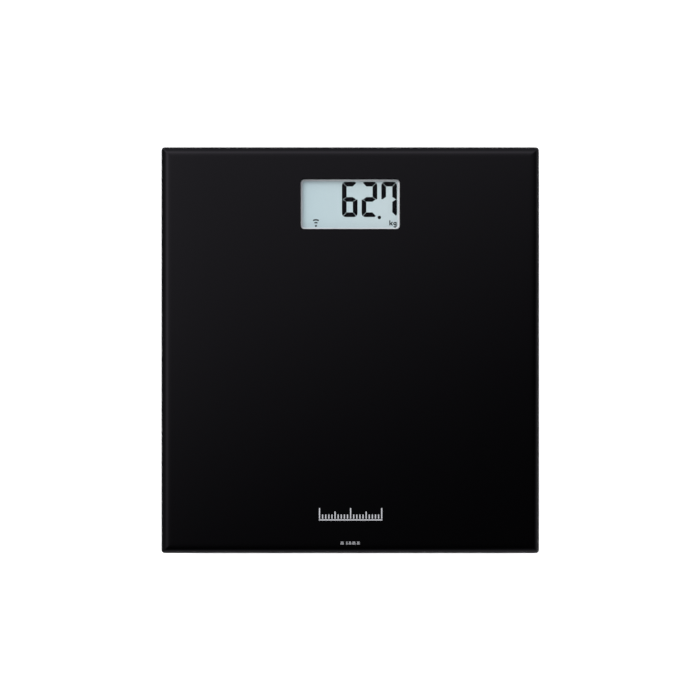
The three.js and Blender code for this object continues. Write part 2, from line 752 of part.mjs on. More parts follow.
// ---- Door ----
// Closed, its outside is flush with the tray. It turns about its own lower front edge, with two tongues over
// the tray's floor, and a folded leaf at the back that springs when its outer side is pinched.
function batteryDoor() {
  const top = TRAY_BOTTOM + DOOR.thickness;
  const plate = block(-DOOR.halfWidth, DOOR.halfWidth, DOOR.y0, DOOR.y1, TRAY_BOTTOM, top);
  const tongues = [-1, 1].flatMap((side) => {
    const [x0, x1] = [side * TONGUE.x - TONGUE.width / 2, side * TONGUE.x + TONGUE.width / 2];
    return [
      block(x0, x1, TONGUE.y0, DOOR.y0 + 1.4, TONGUE.bottom, TONGUE.top),
      block(x0, x1, DOOR.y0, DOOR.y0 + 1.4, top - ROOT, TONGUE.top),
    ];
  });
  const latch = { half: 6, leaf: 1, inner: 62.6, outer: 65.6, top: 12.6 };
  const [inner, outer] = [latch.inner + latch.leaf, latch.outer + latch.leaf];
  const nose = { bottom: 7.2, top: 8.4 };
  return join([
    plate,
    block(-DOOR.tabHalfWidth, DOOR.tabHalfWidth, DOOR.y1 - ROOT, inner + ROOT, TRAY_BOTTOM, top),
    ...tongues,
    block(-latch.half, latch.half, latch.inner, inner, top - ROOT, latch.top),
    block(-latch.half, latch.half, latch.inner, outer, latch.top - latch.leaf, latch.top),
    block(-latch.half, latch.half, latch.outer, outer, TRAY_BOTTOM, latch.top),
    block(-latch.half, latch.half, latch.outer, DOOR.tabEnd, nose.bottom, nose.top),
  ]);
}

// ---- Assembly ----
place("glass_platform", glassPlatform(), glass);
place("backing_print", backingPrint(), print);
place("bond_tape", bondTape(), foam);
place("base_tray", baseTray(), blackPlastic);
CORNERS.forEach(addCorner);
CORNERS.forEach((corner) => place(`cell_lead_${corner.name}`, cellLead(corner), leadSleeve));
place("lcd_frame", lcdFrame(), whitePlastic);
place("lcd_panel", lcdPanel(), lcdGlass);
place("elastomer_connector", elastomerConnector(), conductiveRubber);
place("main_board", mainBoard(), boardGreen);
place("controller_blob", controllerBlob(), blackEpoxy).position.set(CONTROLLER.x, CONTROLLER.y, 0);
place("wireless_module", wirelessModule(), steel);
place("unit_switch", unitSwitch(), blackEpoxy);
place("unit_button", unitButton(), greyButton);
let screwNumber = 0;
for (const y of BOSS.ys) {
  for (const x of [-BOSS.x, BOSS.x]) {
    screwNumber += 1;
    place(`board_screw_${screwNumber}`, boardScrew(), steel).position.set(x, y, 0);
  }
}
for (const cell of CELLS) {
  place(`battery_${cell.number}`, battery(cell), batterySleeve);
  place(`battery_spring_${cell.number}`, batterySpring(cell), nickel);
}
place("bridge_front_left", contactPlate([CELLS[0].x, CELLS[1].x], false), nickel);
place("bridge_front_right", contactPlate([CELLS[2].x, CELLS[3].x], false), nickel);
place("bridge_back", contactPlate([CELLS[1].x, CELLS[2].x], true), nickel);
place("terminal_positive", terminal(CELLS[0].x), nickel);
place("terminal_negative", terminal(CELLS[3].x), nickel);
place("supply_lead_positive", supplyLead(CELLS[0].x), redSleeve);
place("supply_lead_negative", supplyLead(CELLS[3].x), blackSleeve);
place("battery_door", batteryDoor(), blackPlastic);

export default scale;
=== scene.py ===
import json
import math

import bmesh
import bpy
from mathutils import Matrix, Vector

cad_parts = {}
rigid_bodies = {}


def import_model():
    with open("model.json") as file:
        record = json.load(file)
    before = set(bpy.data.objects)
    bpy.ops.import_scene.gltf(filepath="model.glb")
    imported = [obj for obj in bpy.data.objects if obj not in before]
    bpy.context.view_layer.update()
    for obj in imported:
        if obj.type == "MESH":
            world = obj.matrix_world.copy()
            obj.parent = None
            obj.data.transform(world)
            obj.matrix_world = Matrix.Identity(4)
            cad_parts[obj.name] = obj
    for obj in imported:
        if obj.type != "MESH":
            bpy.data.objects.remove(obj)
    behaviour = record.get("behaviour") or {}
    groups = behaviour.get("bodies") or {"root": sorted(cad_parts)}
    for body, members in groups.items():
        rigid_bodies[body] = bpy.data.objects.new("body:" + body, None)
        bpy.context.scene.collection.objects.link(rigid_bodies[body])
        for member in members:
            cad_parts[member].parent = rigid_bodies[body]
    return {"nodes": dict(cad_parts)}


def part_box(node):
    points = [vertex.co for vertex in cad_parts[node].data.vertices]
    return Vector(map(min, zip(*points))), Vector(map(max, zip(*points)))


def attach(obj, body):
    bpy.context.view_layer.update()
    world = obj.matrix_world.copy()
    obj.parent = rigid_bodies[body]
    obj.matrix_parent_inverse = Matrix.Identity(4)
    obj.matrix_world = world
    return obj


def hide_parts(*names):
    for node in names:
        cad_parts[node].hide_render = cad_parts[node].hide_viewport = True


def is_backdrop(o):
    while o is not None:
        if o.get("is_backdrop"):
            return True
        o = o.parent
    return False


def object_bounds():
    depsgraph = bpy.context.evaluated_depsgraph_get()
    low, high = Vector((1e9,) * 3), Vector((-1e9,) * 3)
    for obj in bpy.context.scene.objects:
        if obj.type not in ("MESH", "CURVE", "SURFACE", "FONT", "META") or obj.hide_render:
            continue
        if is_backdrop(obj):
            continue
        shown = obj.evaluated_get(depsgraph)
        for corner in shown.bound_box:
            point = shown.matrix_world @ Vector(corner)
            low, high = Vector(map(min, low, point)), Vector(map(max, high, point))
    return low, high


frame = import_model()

# A digital bathroom scale, dressed round its CAD frame.
# Shapes are made in millimetres and scaled to metres when they become pieces.
# +Z is up, and the display is at the +Y end.
MM = 0.001
CAD_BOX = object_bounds()
CIRCLE = 96  # facets of a large round piece
CORNER_STEPS = 14  # facets of a rounded corner


class Box:
    """The box of a CAD node at rest, in millimetres."""

    def __init__(self, node):
        low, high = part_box(node)
        self.x0, self.y0, self.z0 = low / MM
        self.x1, self.y1, self.z1 = high / MM
        self.x = (self.x0 + self.x1) / 2
        self.y = (self.y0 + self.y1) / 2
        self.width = self.x1 - self.x0
        self.depth = self.y1 - self.y0


GLASS = Box("glass_platform")
PRINT = Box("backing_print")
TRAY = Box("base_tray")
LCD = Box("lcd_panel")
LCD_FRAME = Box("lcd_frame")
BOARD = Box("main_board")
BUTTON = Box("unit_button")
CORNERS = ["front_left", "front_right", "back_left", "back_right"]
PRINT_LEVEL = GLASS.z0 + 0.03  # top of the ink, which has no air between it and the glass
MARK = 0.02  # thickness of the marks screened on the glass
FACE = GLASS.z1 - MARK  # the glass's flat face
SINK = 0.01  # how far a mark goes into what it lies on

# The display window in the print, as the CAD has it.
WINDOW = {"width": 73.5, "depth": 37, "radius": 2.6, "y": LCD.y}
WALL = 1.8  # of the tray
FIT = 0.3  # gap round moving pieces and the display
SEAT = 0.1  # gap where pieces seat
FLOOR_TOP = TRAY.z0 + WALL
ROOM = 1.05  # strength of the studio's white surroundings
GLASS_TINT = (0.98, 0.988, 0.984, 1)  # light that has gone through the plate


# ---- Camera ----
def add_camera():
    """Straight above, with the display end at the top of the picture."""
    field = 518.9  # millimetres across the picture at the level of the glass's outline
    outline_level = 23
    aim = (-0.15, 0.15)
    data = bpy.data.cameras.new("camera")
    data.lens = 85
    data.sensor_width = 36
    height = outline_level + field * data.lens / data.sensor_width
    camera = bpy.data.objects.new("camera", data)
    camera.location = (aim[0] * MM, aim[1] * MM, height * MM)
    bpy.context.scene.collection.objects.link(camera)
    bpy.context.scene.camera = camera


add_camera()


# ---- Node helpers ----
def add(tree, kind, inputs=None, **properties):
    """A shader node with its properties set, and each input set to a value or linked to a socket."""
    made = tree.nodes.new("ShaderNode" + kind)
    for key, value in properties.items():
        setattr(made, key, value)
    for key, value in (inputs or {}).items():
        if isinstance(value, bpy.types.NodeSocket):
            tree.links.new(value, made.inputs[key])
        else:
            made.inputs[key].default_value = value
    return made


def maths(tree, operation, *values):
    return add(tree, "Math", dict(enumerate(values)), operation=operation).outputs[0]


def spread(tree, value, low, high, to_low=0.0, to_high=1.0, smooth=False):
    """value carried from the range low to high onto to_low to to_high."""
    inputs = {"Value": value, "From Min": low, "From Max": high, "To Min": to_low, "To Max": to_high}
    kind = "SMOOTHSTEP" if smooth else "LINEAR"
    return add(tree, "MapRange", inputs, interpolation_type=kind).outputs["Result"]


def blend(tree, factor, first, second):
    """Two numbers mixed by factor."""
    return add(tree, "Mix", {0: factor, 2: first, 3: second}, data_type="FLOAT").outputs[0]


def blend_colours(tree, factor, first, second):
    """Two colours mixed by factor. Each may be a socket."""
    return add(tree, "Mix", {0: factor, 6: first, 7: second}, data_type="RGBA").outputs[2]


def shade(colour, factor):
    return tuple(min(c * factor, 1.0) for c in colour[:3]) + (1.0,)


def linear(red, green, blue):
    """A colour given as 0 to 255 in sRGB, as the linear colour that a shader takes."""

    def one(value):
        value /= 255
        return value / 12.92 if value <= 0.04045 else ((value + 0.055) / 1.055) ** 2.4

    return (one(red), one(green), one(blue), 1.0)


# ---- Studio ----
def add_world():
    """White walls all round, and a dim ceiling that falls off towards the lower right. Two long soft strips,
    to the left and beyond the display end, draw the light band along the glass's edge. The eye sees white."""
    world = bpy.data.worlds.new("studio")
    world.use_nodes = True
    tree = world.node_tree
    tree.nodes.clear()
    way = add(tree, "TexCoord").outputs["Generated"]
    split = add(tree, "SeparateXYZ", {"Vector": way})
    x, y, z = split.outputs["X"], split.outputs["Y"], split.outputs["Z"]

    slope = maths(tree, "MULTIPLY_ADD", x, -7.1, -0.53)
    slope = maths(tree, "MULTIPLY_ADD", y, 14.0, slope)
    fall = maths(tree, "ADD", maths(tree, "EXPONENT", maths(tree, "MULTIPLY", slope, -1.0)), 1.0)
    ceiling = maths(tree, "DIVIDE", 0.33, fall)

    def strip(value, centre, below, above, strength):
        """A soft line of light, whose edges fall off over one width below its centre and another above it."""
        offset = maths(tree, "SUBTRACT", value, centre)
        up, down = maths(tree, "DIVIDE", offset, above), maths(tree, "DIVIDE", offset, -below)
        away = maths(tree, "MAXIMUM", up, down)
        bell = maths(tree, "EXPONENT", maths(tree, "MULTIPLY", maths(tree, "POWER", away, 2.0), -0.5))
        return maths(tree, "MULTIPLY_ADD", bell, strength, 1.0)

    ceiling = maths(tree, "MULTIPLY", ceiling, strip(x, -0.21, 0.038, 0.048, 1.5))
    ceiling = maths(tree, "MULTIPLY", ceiling, strip(y, 0.26, 0.058, 0.05, 1.3))

    beyond_strip = spread(tree, x, -0.44, -0.28, 0.4, 1.0, smooth=True)
    ceiling = maths(tree, "MULTIPLY", ceiling, beyond_strip)

    towards_key = maths(tree, "MULTIPLY_ADD", y, 0.77, maths(tree, "MULTIPLY", x, -0.64))
    walls = maths(tree, "MULTIPLY_ADD", towards_key, 0.3, ROOM)
    height = maths(tree, "MULTIPLY_ADD", towards_key, 0.2, z)
    share = spread(tree, height, 0.93, 0.62, smooth=True)
    strength = blend(tree, share, ceiling, walls)
    tint = blend_colours(tree, share, (1.02, 0.965, 1.13, 1), (0.985, 1.0, 1.01, 1))
    below = maths(tree, "LESS_THAN", z, 0.0)
    strength = blend(tree, below, strength, ROOM)
    seen = add(tree, "LightPath").outputs["Is Camera Ray"]
    strength = blend(tree, seen, strength, ROOM)
    tint = blend_colours(tree, seen, tint, (1, 1, 1, 1))
    light = add(tree, "Background", {"Color": tint, "Strength": strength})
    out = add(tree, "OutputWorld", {"Surface": light.outputs[0]})
    out.is_active_output = True
    bpy.context.scene.world = world


def add_key():
    """A soft lamp over the display end, to the left. It lights dull surfaces and draws no highlight."""
    data = bpy.data.lights.new("key", "SUN")
    data.energy = 2.1
    data.angle = math.radians(35)
    key = bpy.data.objects.new("key", data)
    towards = Vector((-0.52, 0.58, 0.63))
    key.rotation_euler = towards.to_track_quat("Z", "Y").to_euler()
    key.visible_glossy = False
    key.visible_camera = False
    key.visible_transmission = False
    bpy.context.scene.collection.objects.link(key)


def add_floor():
    """A white table, which also gives back some light of its own, so that no shadow greys it."""
    side = 4.0
    drop = 0.00005  # clear of the soles
    mesh = bpy.data.meshes.new("floor")
    corners = [(-side, -side, -drop), (side, -side, -drop), (side, side, -drop), (-side, side, -drop)]
    mesh.from_pydata(corners, [], [(0, 1, 2, 3)])
    floor = bpy.data.objects.new("floor", mesh)
    bpy.context.scene.collection.objects.link(floor)
    floor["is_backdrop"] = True
    material = bpy.data.materials.new("floor")
    material.use_nodes = True
    tree = material.node_tree
    tree.nodes.clear()
    white = add(tree, "BsdfDiffuse", {"Color": (0.9, 0.9, 0.9, 1)})
    glow = add(tree, "Emission", {"Color": (1, 1, 1, 1), "Strength": 0.75})
    paper = add(tree, "AddShader", {0: white.outputs[0], 1: glow.outputs[0]})
    clear = add(tree, "BsdfTransparent")
    behind = add(tree, "NewGeometry").outputs["Backfacing"]
    mixed = add(tree, "MixShader", {0: behind, 1: paper.outputs[0], 2: clear.outputs[0]})
    add(tree, "OutputMaterial", {"Surface": mixed.outputs[0]})
    mesh.materials.append(material)


bpy.context.scene.view_settings.view_transform = "Standard"
add_world()
add_key()
add_floor()


# ---- Materials ----
def surface(name, inputs):
    """A new material with one Principled shader, its tree, and the shader."""
    material = bpy.data.materials.new(name)
    material.use_nodes = True
    tree = material.node_tree
    tree.nodes.clear()
    shader = add(tree, "BsdfPrincipled", inputs)
    add(tree, "OutputMaterial", {"Surface": shader.outputs[0]})
    return material, tree, shader


def noise(tree, scale, detail=3.0, stretch=(1, 1, 1), roughness=0.5):
    """Noise in the piece's own coordinates, with features about 1/scale metres across."""
    place = add(tree, "TexCoord").outputs["Object"]
    placed = add(tree, "Mapping", {"Vector": place, "Scale": stretch}).outputs[0]
    inputs = {"Vector": placed, "Scale": scale, "Detail": detail, "Roughness": roughness}
    return add(tree, "TexNoise", inputs).outputs[0]


def link(tree, socket, node, key):
    tree.links.new(socket, node.inputs[key])


def paint(tree, shader, share, first, second):
    """A colour that wanders between two."""
    link(tree, blend_colours(tree, share, first, second), shader, "Base Color")


def gloss(tree, shader, share, low, high):
    """A roughness that wanders from low to high over the middle of share's range."""
    link(tree, spread(tree, share, 0.3, 0.7, low, high), shader, "Roughness")


def bump(tree, shader, height, strength, distance):
    inputs = {"Height": height, "Strength": strength, "Distance": distance}
    link(tree, add(tree, "Bump", inputs).outputs[0], shader, "Normal")


def moulded(name, colour, roughness, grain=2200, relief=0.00004, strength=0.35):
    """Moulded plastic: spark-eroded grain, slow mottling of the colour and uneven gloss."""
    material, tree, shader = surface(name, {"Specular IOR Level": 0.45})
    cloud = noise(tree, 35, 2)
    fine = noise(tree, grain, 2, roughness=0.6)
    tone = spread(tree, maths(tree, "MULTIPLY_ADD", fine, 0.3, cloud), 0.35, 0.95)
    paint(tree, shader, tone, shade(colour, 0.86), shade(colour, 1.16))
    gloss(tree, shader, cloud, roughness - 0.05, roughness + 0.06)
    bump(tree, shader, fine, strength, relief)
    return material


def passes_light(tree, shader):
    """Light from the studio goes straight through this face of a flat plate to what is below it, while what
    the eye sees is still bent and mirrored by the shader."""
    out = next(n for n in tree.nodes if n.type == "OUTPUT_MATERIAL")
    path = add(tree, "LightPath").outputs
    clear = add(tree, "BsdfTransparent", {"Color": GLASS_TINT}).outputs[0]
    seen = shader.outputs[0]
    inner = add(tree, "MixShader", {0: path["Is Diffuse Ray"], 1: seen, 2: clear}).outputs[0]
    outer = add(tree, "MixShader", {0: path["Is Shadow Ray"], 1: inner, 2: clear}).outputs[0]
    link(tree, outer, out, "Surface")


def clear_glass(name, bend):
    """Polished float glass with nothing printed under it."""
    tint = (0.985, 0.995, 0.99, 1)
    inputs = {"Base Color": tint, "Roughness": 0.0, "IOR": bend, "Transmission Weight": 1.0}
    material, tree, shader = surface(name, inputs)
    passes_light(tree, shader)
    return material


def printed_glass():
    """The same plate where the black print closes its underside: only the polished face shows."""
    material, tree, shader = surface("printed_glass", {"IOR": 1.5})
    haze = noise(tree, 18, 3)
    paint(tree, shader, haze, (0.0002, 0.0002, 0.0003, 1), (0.0005, 0.0005, 0.0006, 1))
    link(tree, spread(tree, haze, 0.4, 0.7, 0.0, 0.02), shader, "Roughness")
    passes_light(tree, shader)
    return material


def ground_glass():
    """The arrissed edge of the plate, matt from the grinding wheel."""
    inputs = {"Base Color": (0.80, 0.90, 0.87, 1), "IOR": 1.5, "Transmission Weight": 0.85}
    material, tree, shader = surface("ground_glass", inputs)
    streaks = noise(tree, 900, 3, stretch=(1, 1, 6))
    gloss(tree, shader, streaks, 0.18, 0.34)
    bump(tree, shader, streaks, 0.15, 0.00002)
    return material


def ink():
    """Ceramic ink fired on to the glass: as good as black through it."""
    material, tree, shader = surface("black_ink", {"Specular IOR Level": 0.0})
    cloud = noise(tree, 60, 4)
    paint(tree, shader, cloud, (0.0003, 0.0003, 0.0004, 1), (0.0008, 0.0008, 0.001, 1))
    gloss(tree, shader, noise(tree, 1500), 0.45, 0.6)
    return material


def display_film():
    """The display's silvered back seen through its polariser: a fine sparkle, and a tone that is darker
    towards its left end.
    """
    material, tree, shader = surface("display_film", {"Specular IOR Level": 0.3})
    place = add(tree, "TexCoord").outputs["Object"]
    across = add(tree, "SeparateXYZ", {"Vector": place}).outputs["X"]
    half = LCD.width / 2 * MM
    side = spread(tree, across, -half, half)
    # Colour runs steadily from darker and cooler at the display's left end to lighter at its right end.
    field = blend_colours(tree, side, linear(184, 203, 208), linear(193, 205, 208))
    sparkle = noise(tree, 4200, 2)
    tone = blend_colours(tree, spread(tree, sparkle, 0.3, 0.7, 0.0, 0.10), field, linear(214, 226, 228))
    link(tree, tone, shader, "Base Color")
    gloss(tree, shader, sparkle, 0.22, 0.32)
    bump(tree, shader, sparkle, 0.08, 0.00001)
    return material


def speckled(name, scale, specular, first, second, low, high):
    """A dull coat of ink or of darkened liquid crystal, whose colour and roughness wander together."""
    material, tree, shader = surface(name, {"Specular IOR Level": specular})
    speckle = noise(tree, scale, 2)
    paint(tree, shader, speckle, first, second)
    gloss(tree, shader, speckle, low, high)
    return material


def metal(name, colour, roughness, stretch=(1, 1, 1), scale=900):
    """Rolled or plated metal with fine streaks and uneven gloss."""
    material, tree, shader = surface(name, {"Metallic": 1.0})
    streaks = noise(tree, scale, 4, stretch)
    cloud = noise(tree, 60, 2)
    paint(tree, shader, streaks, shade(colour, 0.82), shade(colour, 1.08))
    gloss(tree, shader, cloud, roughness - 0.06, roughness + 0.1)
    bump(tree, shader, streaks, 0.12, 0.00001)
    return material


def rubber(name, colour):
    material, tree, shader = surface(name, {"Specular IOR Level": 0.25})
    dust = noise(tree, 120, 4)
    fine = noise(tree, 1800, 3)
    paint(tree, shader, spread(tree, dust, 0.35, 0.7), colour, shade(colour, 1.3))
    gloss(tree, shader, fine, 0.75, 0.92)
    bump(tree, shader, fine, 0.4, 0.00005)
    return material


def foam():
    """Closed-cell foam."""
    material, tree, shader = surface("foam", {"Specular IOR Level": 0.2, "Roughness": 0.95})
    place = add(tree, "TexCoord").outputs["Object"]
    cells = add(tree, "TexVoronoi", {"Vector": place, "Scale": 2500}).outputs["Distance"]
    paint(tree, shader, cells, (0.012, 0.012, 0.014, 1), (0.03, 0.031, 0.034, 1))
    bump(tree, shader, cells, 0.5, 0.0001)
    return material


def circuit_board():
    """Green solder mask over copper tracks."""
    material, tree, shader = surface("circuit_board", {"Specular IOR Level": 0.5})
    place = add(tree, "TexCoord").outputs["Object"]
    inputs = {"Vector": place, "Scale": 190, "Mortar Size": 0.16, "Mortar Smooth": 0.1, "Bias": 0.0}
    tracks = add(tree, "TexBrick", inputs, offset=0.37, squash=1.6).outputs["Fac"]
    grain = noise(tree, 700, 3)
    mask = blend_colours(tree, grain, (0.006, 0.085, 0.035, 1), (0.010, 0.120, 0.050, 1))
    paint(tree, shader, tracks, mask, (0.012, 0.042, 0.022, 1))
    gloss(tree, shader, grain, 0.28, 0.42)
    bump(tree, shader, tracks, 0.3, 0.00003)
    return material


def battery_sleeve():
    """Shrink-wrapped film: dark over two thirds of the cell, copper towards its positive end, a thin line
    between them. The cell's own +Z is its positive end."""
    material, tree, shader = surface("battery_sleeve", {"Metallic": 0.35})
    place = add(tree, "TexCoord").outputs["Object"]
    along = add(tree, "SeparateXYZ", {"Vector": place}).outputs["Z"]
    seam = 0.0305
    line = 0.0012
    dark = blend_colours(tree, noise(tree, 400, 3), (0.010, 0.011, 0.013, 1), (0.018, 0.019, 0.022, 1))
    warm = blend_colours(tree, noise(tree, 400, 3), (0.46, 0.20, 0.075, 1), (0.56, 0.26, 0.10, 1))
    upper = maths(tree, "GREATER_THAN", along, seam)
    from_stripe = maths(tree, "ABSOLUTE", maths(tree, "SUBTRACT", along, seam - 2 * line))
    stripe = maths(tree, "LESS_THAN", from_stripe, line / 2)
    colour = blend_colours(tree, upper, dark, warm)
    paint(tree, shader, stripe, colour, (0.7, 0.7, 0.68, 1))
    gloss(tree, shader, noise(tree, 250, 3), 0.22, 0.34)
    bump(tree, shader, noise(tree, 120, 3), 0.1, 0.00005)
    return material


LOOK = {
    "rim_glass": clear_glass("rim_glass", 1.5),
    "window_glass": clear_glass("window_glass", 1.25),  # bloomed, so that the display is easy to read
    "printed_glass": printed_glass(),
    "ground_glass": ground_glass(),
    "ink": ink(),
    "ink_back": moulded("ink_back", (0.0055, 0.0056, 0.006, 1), 0.42, strength=0.2),
    "pale_ink": speckled("pale_ink", 2500, 0.1, linear(176, 177, 180), linear(200, 201, 204), 0.5, 0.65),
    "foam": foam(),
    "tray": moulded("tray_plastic", (0.0105, 0.0108, 0.0118, 1), 0.5),
    "foot": moulded("foot_plastic", (0.014, 0.0145, 0.016, 1), 0.55),
    "rubber": rubber("sole_rubber", (0.055, 0.057, 0.06, 1)),
    "button": moulded("button_plastic", (0.20, 0.22, 0.235, 1), 0.45, strength=0.2),
    "frame": moulded("frame_plastic", (0.58, 0.59, 0.61, 1), 0.5, strength=0.15),
    "film": display_film(),
    "segment": speckled(
        "display_black", 3000, 0.0, (0.0006, 0.0007, 0.0011, 1), (0.0018, 0.002, 0.003, 1), 0.25, 0.35),
    "steel": metal("rolled_steel", (0.55, 0.56, 0.58, 1), 0.32, stretch=(1, 12, 1)),
    "nickel": metal("nickel_plate", (0.66, 0.63, 0.57, 1), 0.22),
    "epoxy": moulded("potting_epoxy", (0.72, 0.69, 0.60, 1), 0.4, grain=500, strength=0.3),
    "board": circuit_board(),
    "chip": moulded("moulding_compound", (0.012, 0.012, 0.014, 1), 0.3, grain=3000),
    "elastomer": rubber("conductive_elastomer", (0.62, 0.32, 0.36, 1)),
    "lead": moulded("grey_sleeve", (0.42, 0.43, 0.46, 1), 0.45, strength=0.1),
    "red": moulded("red_sleeve", (0.36, 0.012, 0.010, 1), 0.4, strength=0.1),
    "black": moulded("black_sleeve", (0.010, 0.010, 0.011, 1), 0.4, strength=0.1),
    "sleeve": battery_sleeve(),
}


# ---- Shapes, in millimetres ----
def reshape(mesh, change):
    """Lets change edit a mesh in its editable form."""
    work = bmesh.new()
    work.from_mesh(mesh)
    change(work)
    work.to_mesh(mesh)
    work.free()
    return mesh


def mesh_of(points, faces):
    """A mesh with merged points and its faces pointing out."""
    mesh = bpy.data.meshes.new("shape")
    mesh.from_pydata(points, [], faces)

    def close(work):
        bmesh.ops.remove_doubles(work, verts=work.verts, dist=1e-5)
        bmesh.ops.recalc_face_normals(work, faces=work.faces)

    return reshape(mesh, close)


def loft(rings):
    """A closed body through rings of points, each with the same count, with a flat cap at both ends."""
    count = len(rings[0])
    points = [point for ring in rings for point in ring]
    faces = [tuple(range(count)), tuple(range(len(points) - count, len(points)))]
    for level in range(len(rings) - 1):
        for i in range(count):
            a = level * count + i
            b = level * count + (i + 1) % count
            faces.append((a, b, b + count, a + count))
    return mesh_of(points, faces)


def rounded_rectangle(width, depth, radius, x=0.0, y=0.0, steps=CORNER_STEPS):
    points = []
    for corner in range(4):
        cx = x + (width / 2 - radius) * (1 if corner in (0, 3) else -1)
        cy = y + (depth / 2 - radius) * (1 if corner < 2 else -1)
        for i in range(steps + 1):
            angle = (corner + i / steps) * math.pi / 2
            points.append((cx + radius * math.cos(angle), cy + radius * math.sin(angle)))
    return points


def prism(outline, z0, z1):
    """An outline of (x, y) points drawn up from z0 to z1."""
    return loft([[(x, y, z) for x, y in outline] for z in (z0, z1)])


def stack(outline, levels):
    """A closed body through outline(grow) at every (level, grow)."""
    return loft([[(x, y, z) for x, y in outline(grow)] for z, grow in levels])


def block(x0, x1, y0, y1, z0, z1):
    return prism([(x0, y0), (x1, y0), (x1, y1), (x0, y1)], z0, z1)


def soften(mesh, size, steps=2, angle=40):
    """Rounds every edge of a mesh that turns by more than the angle, in degrees."""

    def bevel(work):
        edges = [e for e in work.edges if e.calc_face_angle(0) > math.radians(angle)]
        bmesh.ops.bevel(work, geom=edges, offset=size, segments=steps, affect="EDGES", profile=0.5)

    return reshape(mesh, bevel)


def soft_block(x0, x1, y0, y1, z0, z1, size=0.3):
    return soften(block(x0, x1, y0, y1, z0, z1), size)


def turns(count):
    """Angles all round a circle."""
    return [2 * math.pi * i / count for i in range(count)]


def slab(x, y, half_x, half_y, z0, z1, soft=0.0):
    """A block centred on x, y, with its edges rounded if soft is given."""
    mesh = block(x - half_x, x + half_x, y - half_y, y + half_y, z0, z1)
    return soften(mesh, soft) if soft else mesh


def lathe(profile, x=0.0, y=0.0, facets=CIRCLE):
    """Turns a profile of (radius, z) points about the upright axis through x, y. It starts and ends on the
    axis, or closes on itself."""
    points = []
    for radius, z in profile:
        points += [(x + radius * math.cos(a), y + radius * math.sin(a), z) for a in turns(facets)]
    closed = profile[0][0] > 0
    faces = []
    for row in range(len(profile) if closed else len(profile) - 1):
        for i in range(facets):
            j = (i + 1) % facets
            a, b = row * facets, ((row + 1) % len(profile)) * facets
            faces.append((a + i, a + j, b + j, b + i))

    def clean(work):
        bmesh.ops.dissolve_degenerate(work, dist=1e-5, edges=work.edges)
        bmesh.ops.recalc_face_normals(work, faces=work.faces)

    return reshape(mesh_of(points, faces), clean)


def disc(radius, z0, z1, x=0.0, y=0.0, facets=CIRCLE):
    return prism([(x + radius * math.cos(a), y + radius * math.sin(a)) for a in turns(facets)], z0, z1)


def boolean(base, tools, operation):
    """base joined with, cut by or kept inside each of the tools in turn."""
    scene = bpy.context.scene.collection.objects
    holder = bpy.data.objects.new("holder", base)
    scene.link(holder)
    others = []
    for tool in tools:
        other = bpy.data.objects.new("tool", tool)
        scene.link(other)
        others.append(other)
        step = holder.modifiers.new("step", "BOOLEAN")
        step.operation = operation
        step.solver = "MANIFOLD"
        step.object = other
    bpy.context.view_layer.update()
    evaluated = holder.evaluated_get(bpy.context.evaluated_depsgraph_get())
    made = bpy.data.meshes.new_from_object(evaluated)
    for other in [holder, *others]:
        bpy.data.objects.remove(other)
    return made


def join(parts):
    return boolean(parts[0], parts[1:], "UNION")


def cut(base, tools):
    return boolean(base, tools, "DIFFERENCE")


def gather(meshes):
    """Separate bodies as one mesh."""
    work = bmesh.new()
    for mesh in meshes:
        work.from_mesh(mesh)
    made = bpy.data.meshes.new("shape")
    work.to_mesh(made)
    work.free()
    return made


def piece(name, mesh, looks, stands_for=(), body="platform", sharp=35, place=None, by_face=None):
    """A mesh in millimetres becomes a named piece that rides on a body. looks is a key of LOOK, or a list of
    them from which by_face picks one for each face. place sets the piece's own axes."""
    mesh.transform(Matrix.Scale(MM, 4))
    mesh.name = name
    mesh.shade_smooth()
    mesh.set_sharp_from_angle(angle=math.radians(sharp))
    mesh.materials.clear()
    for look in looks if isinstance(looks, list) else [looks]:
        mesh.materials.append(LOOK[look])
    if by_face:
        for face in mesh.polygons:
            face.material_index = by_face(face)
    made = bpy.data.objects.new(name, mesh)
    bpy.context.scene.collection.objects.link(made)
    made.modifiers.new("even_shading", "WEIGHTED_NORMAL").keep_sharp = True
    if place:
        made.matrix_world = place
    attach(made, body)
    if stands_for:
        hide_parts(*stands_for)


# ---- Platform ----
def plate_outline(inset, radius):
    """The glass's outline, smaller by inset on every side."""
    return rounded_rectangle(GLASS.width - 2 * inset, GLASS.depth - 2 * inset, radius)


def window_outline(grow=0.0):
    """The display window's outline, larger by grow on every side."""
    width, depth = WINDOW["width"] + 2 * grow, WINDOW["depth"] + 2 * grow
    return rounded_rectangle(width, depth, WINDOW["radius"] + grow, y=WINDOW["y"])


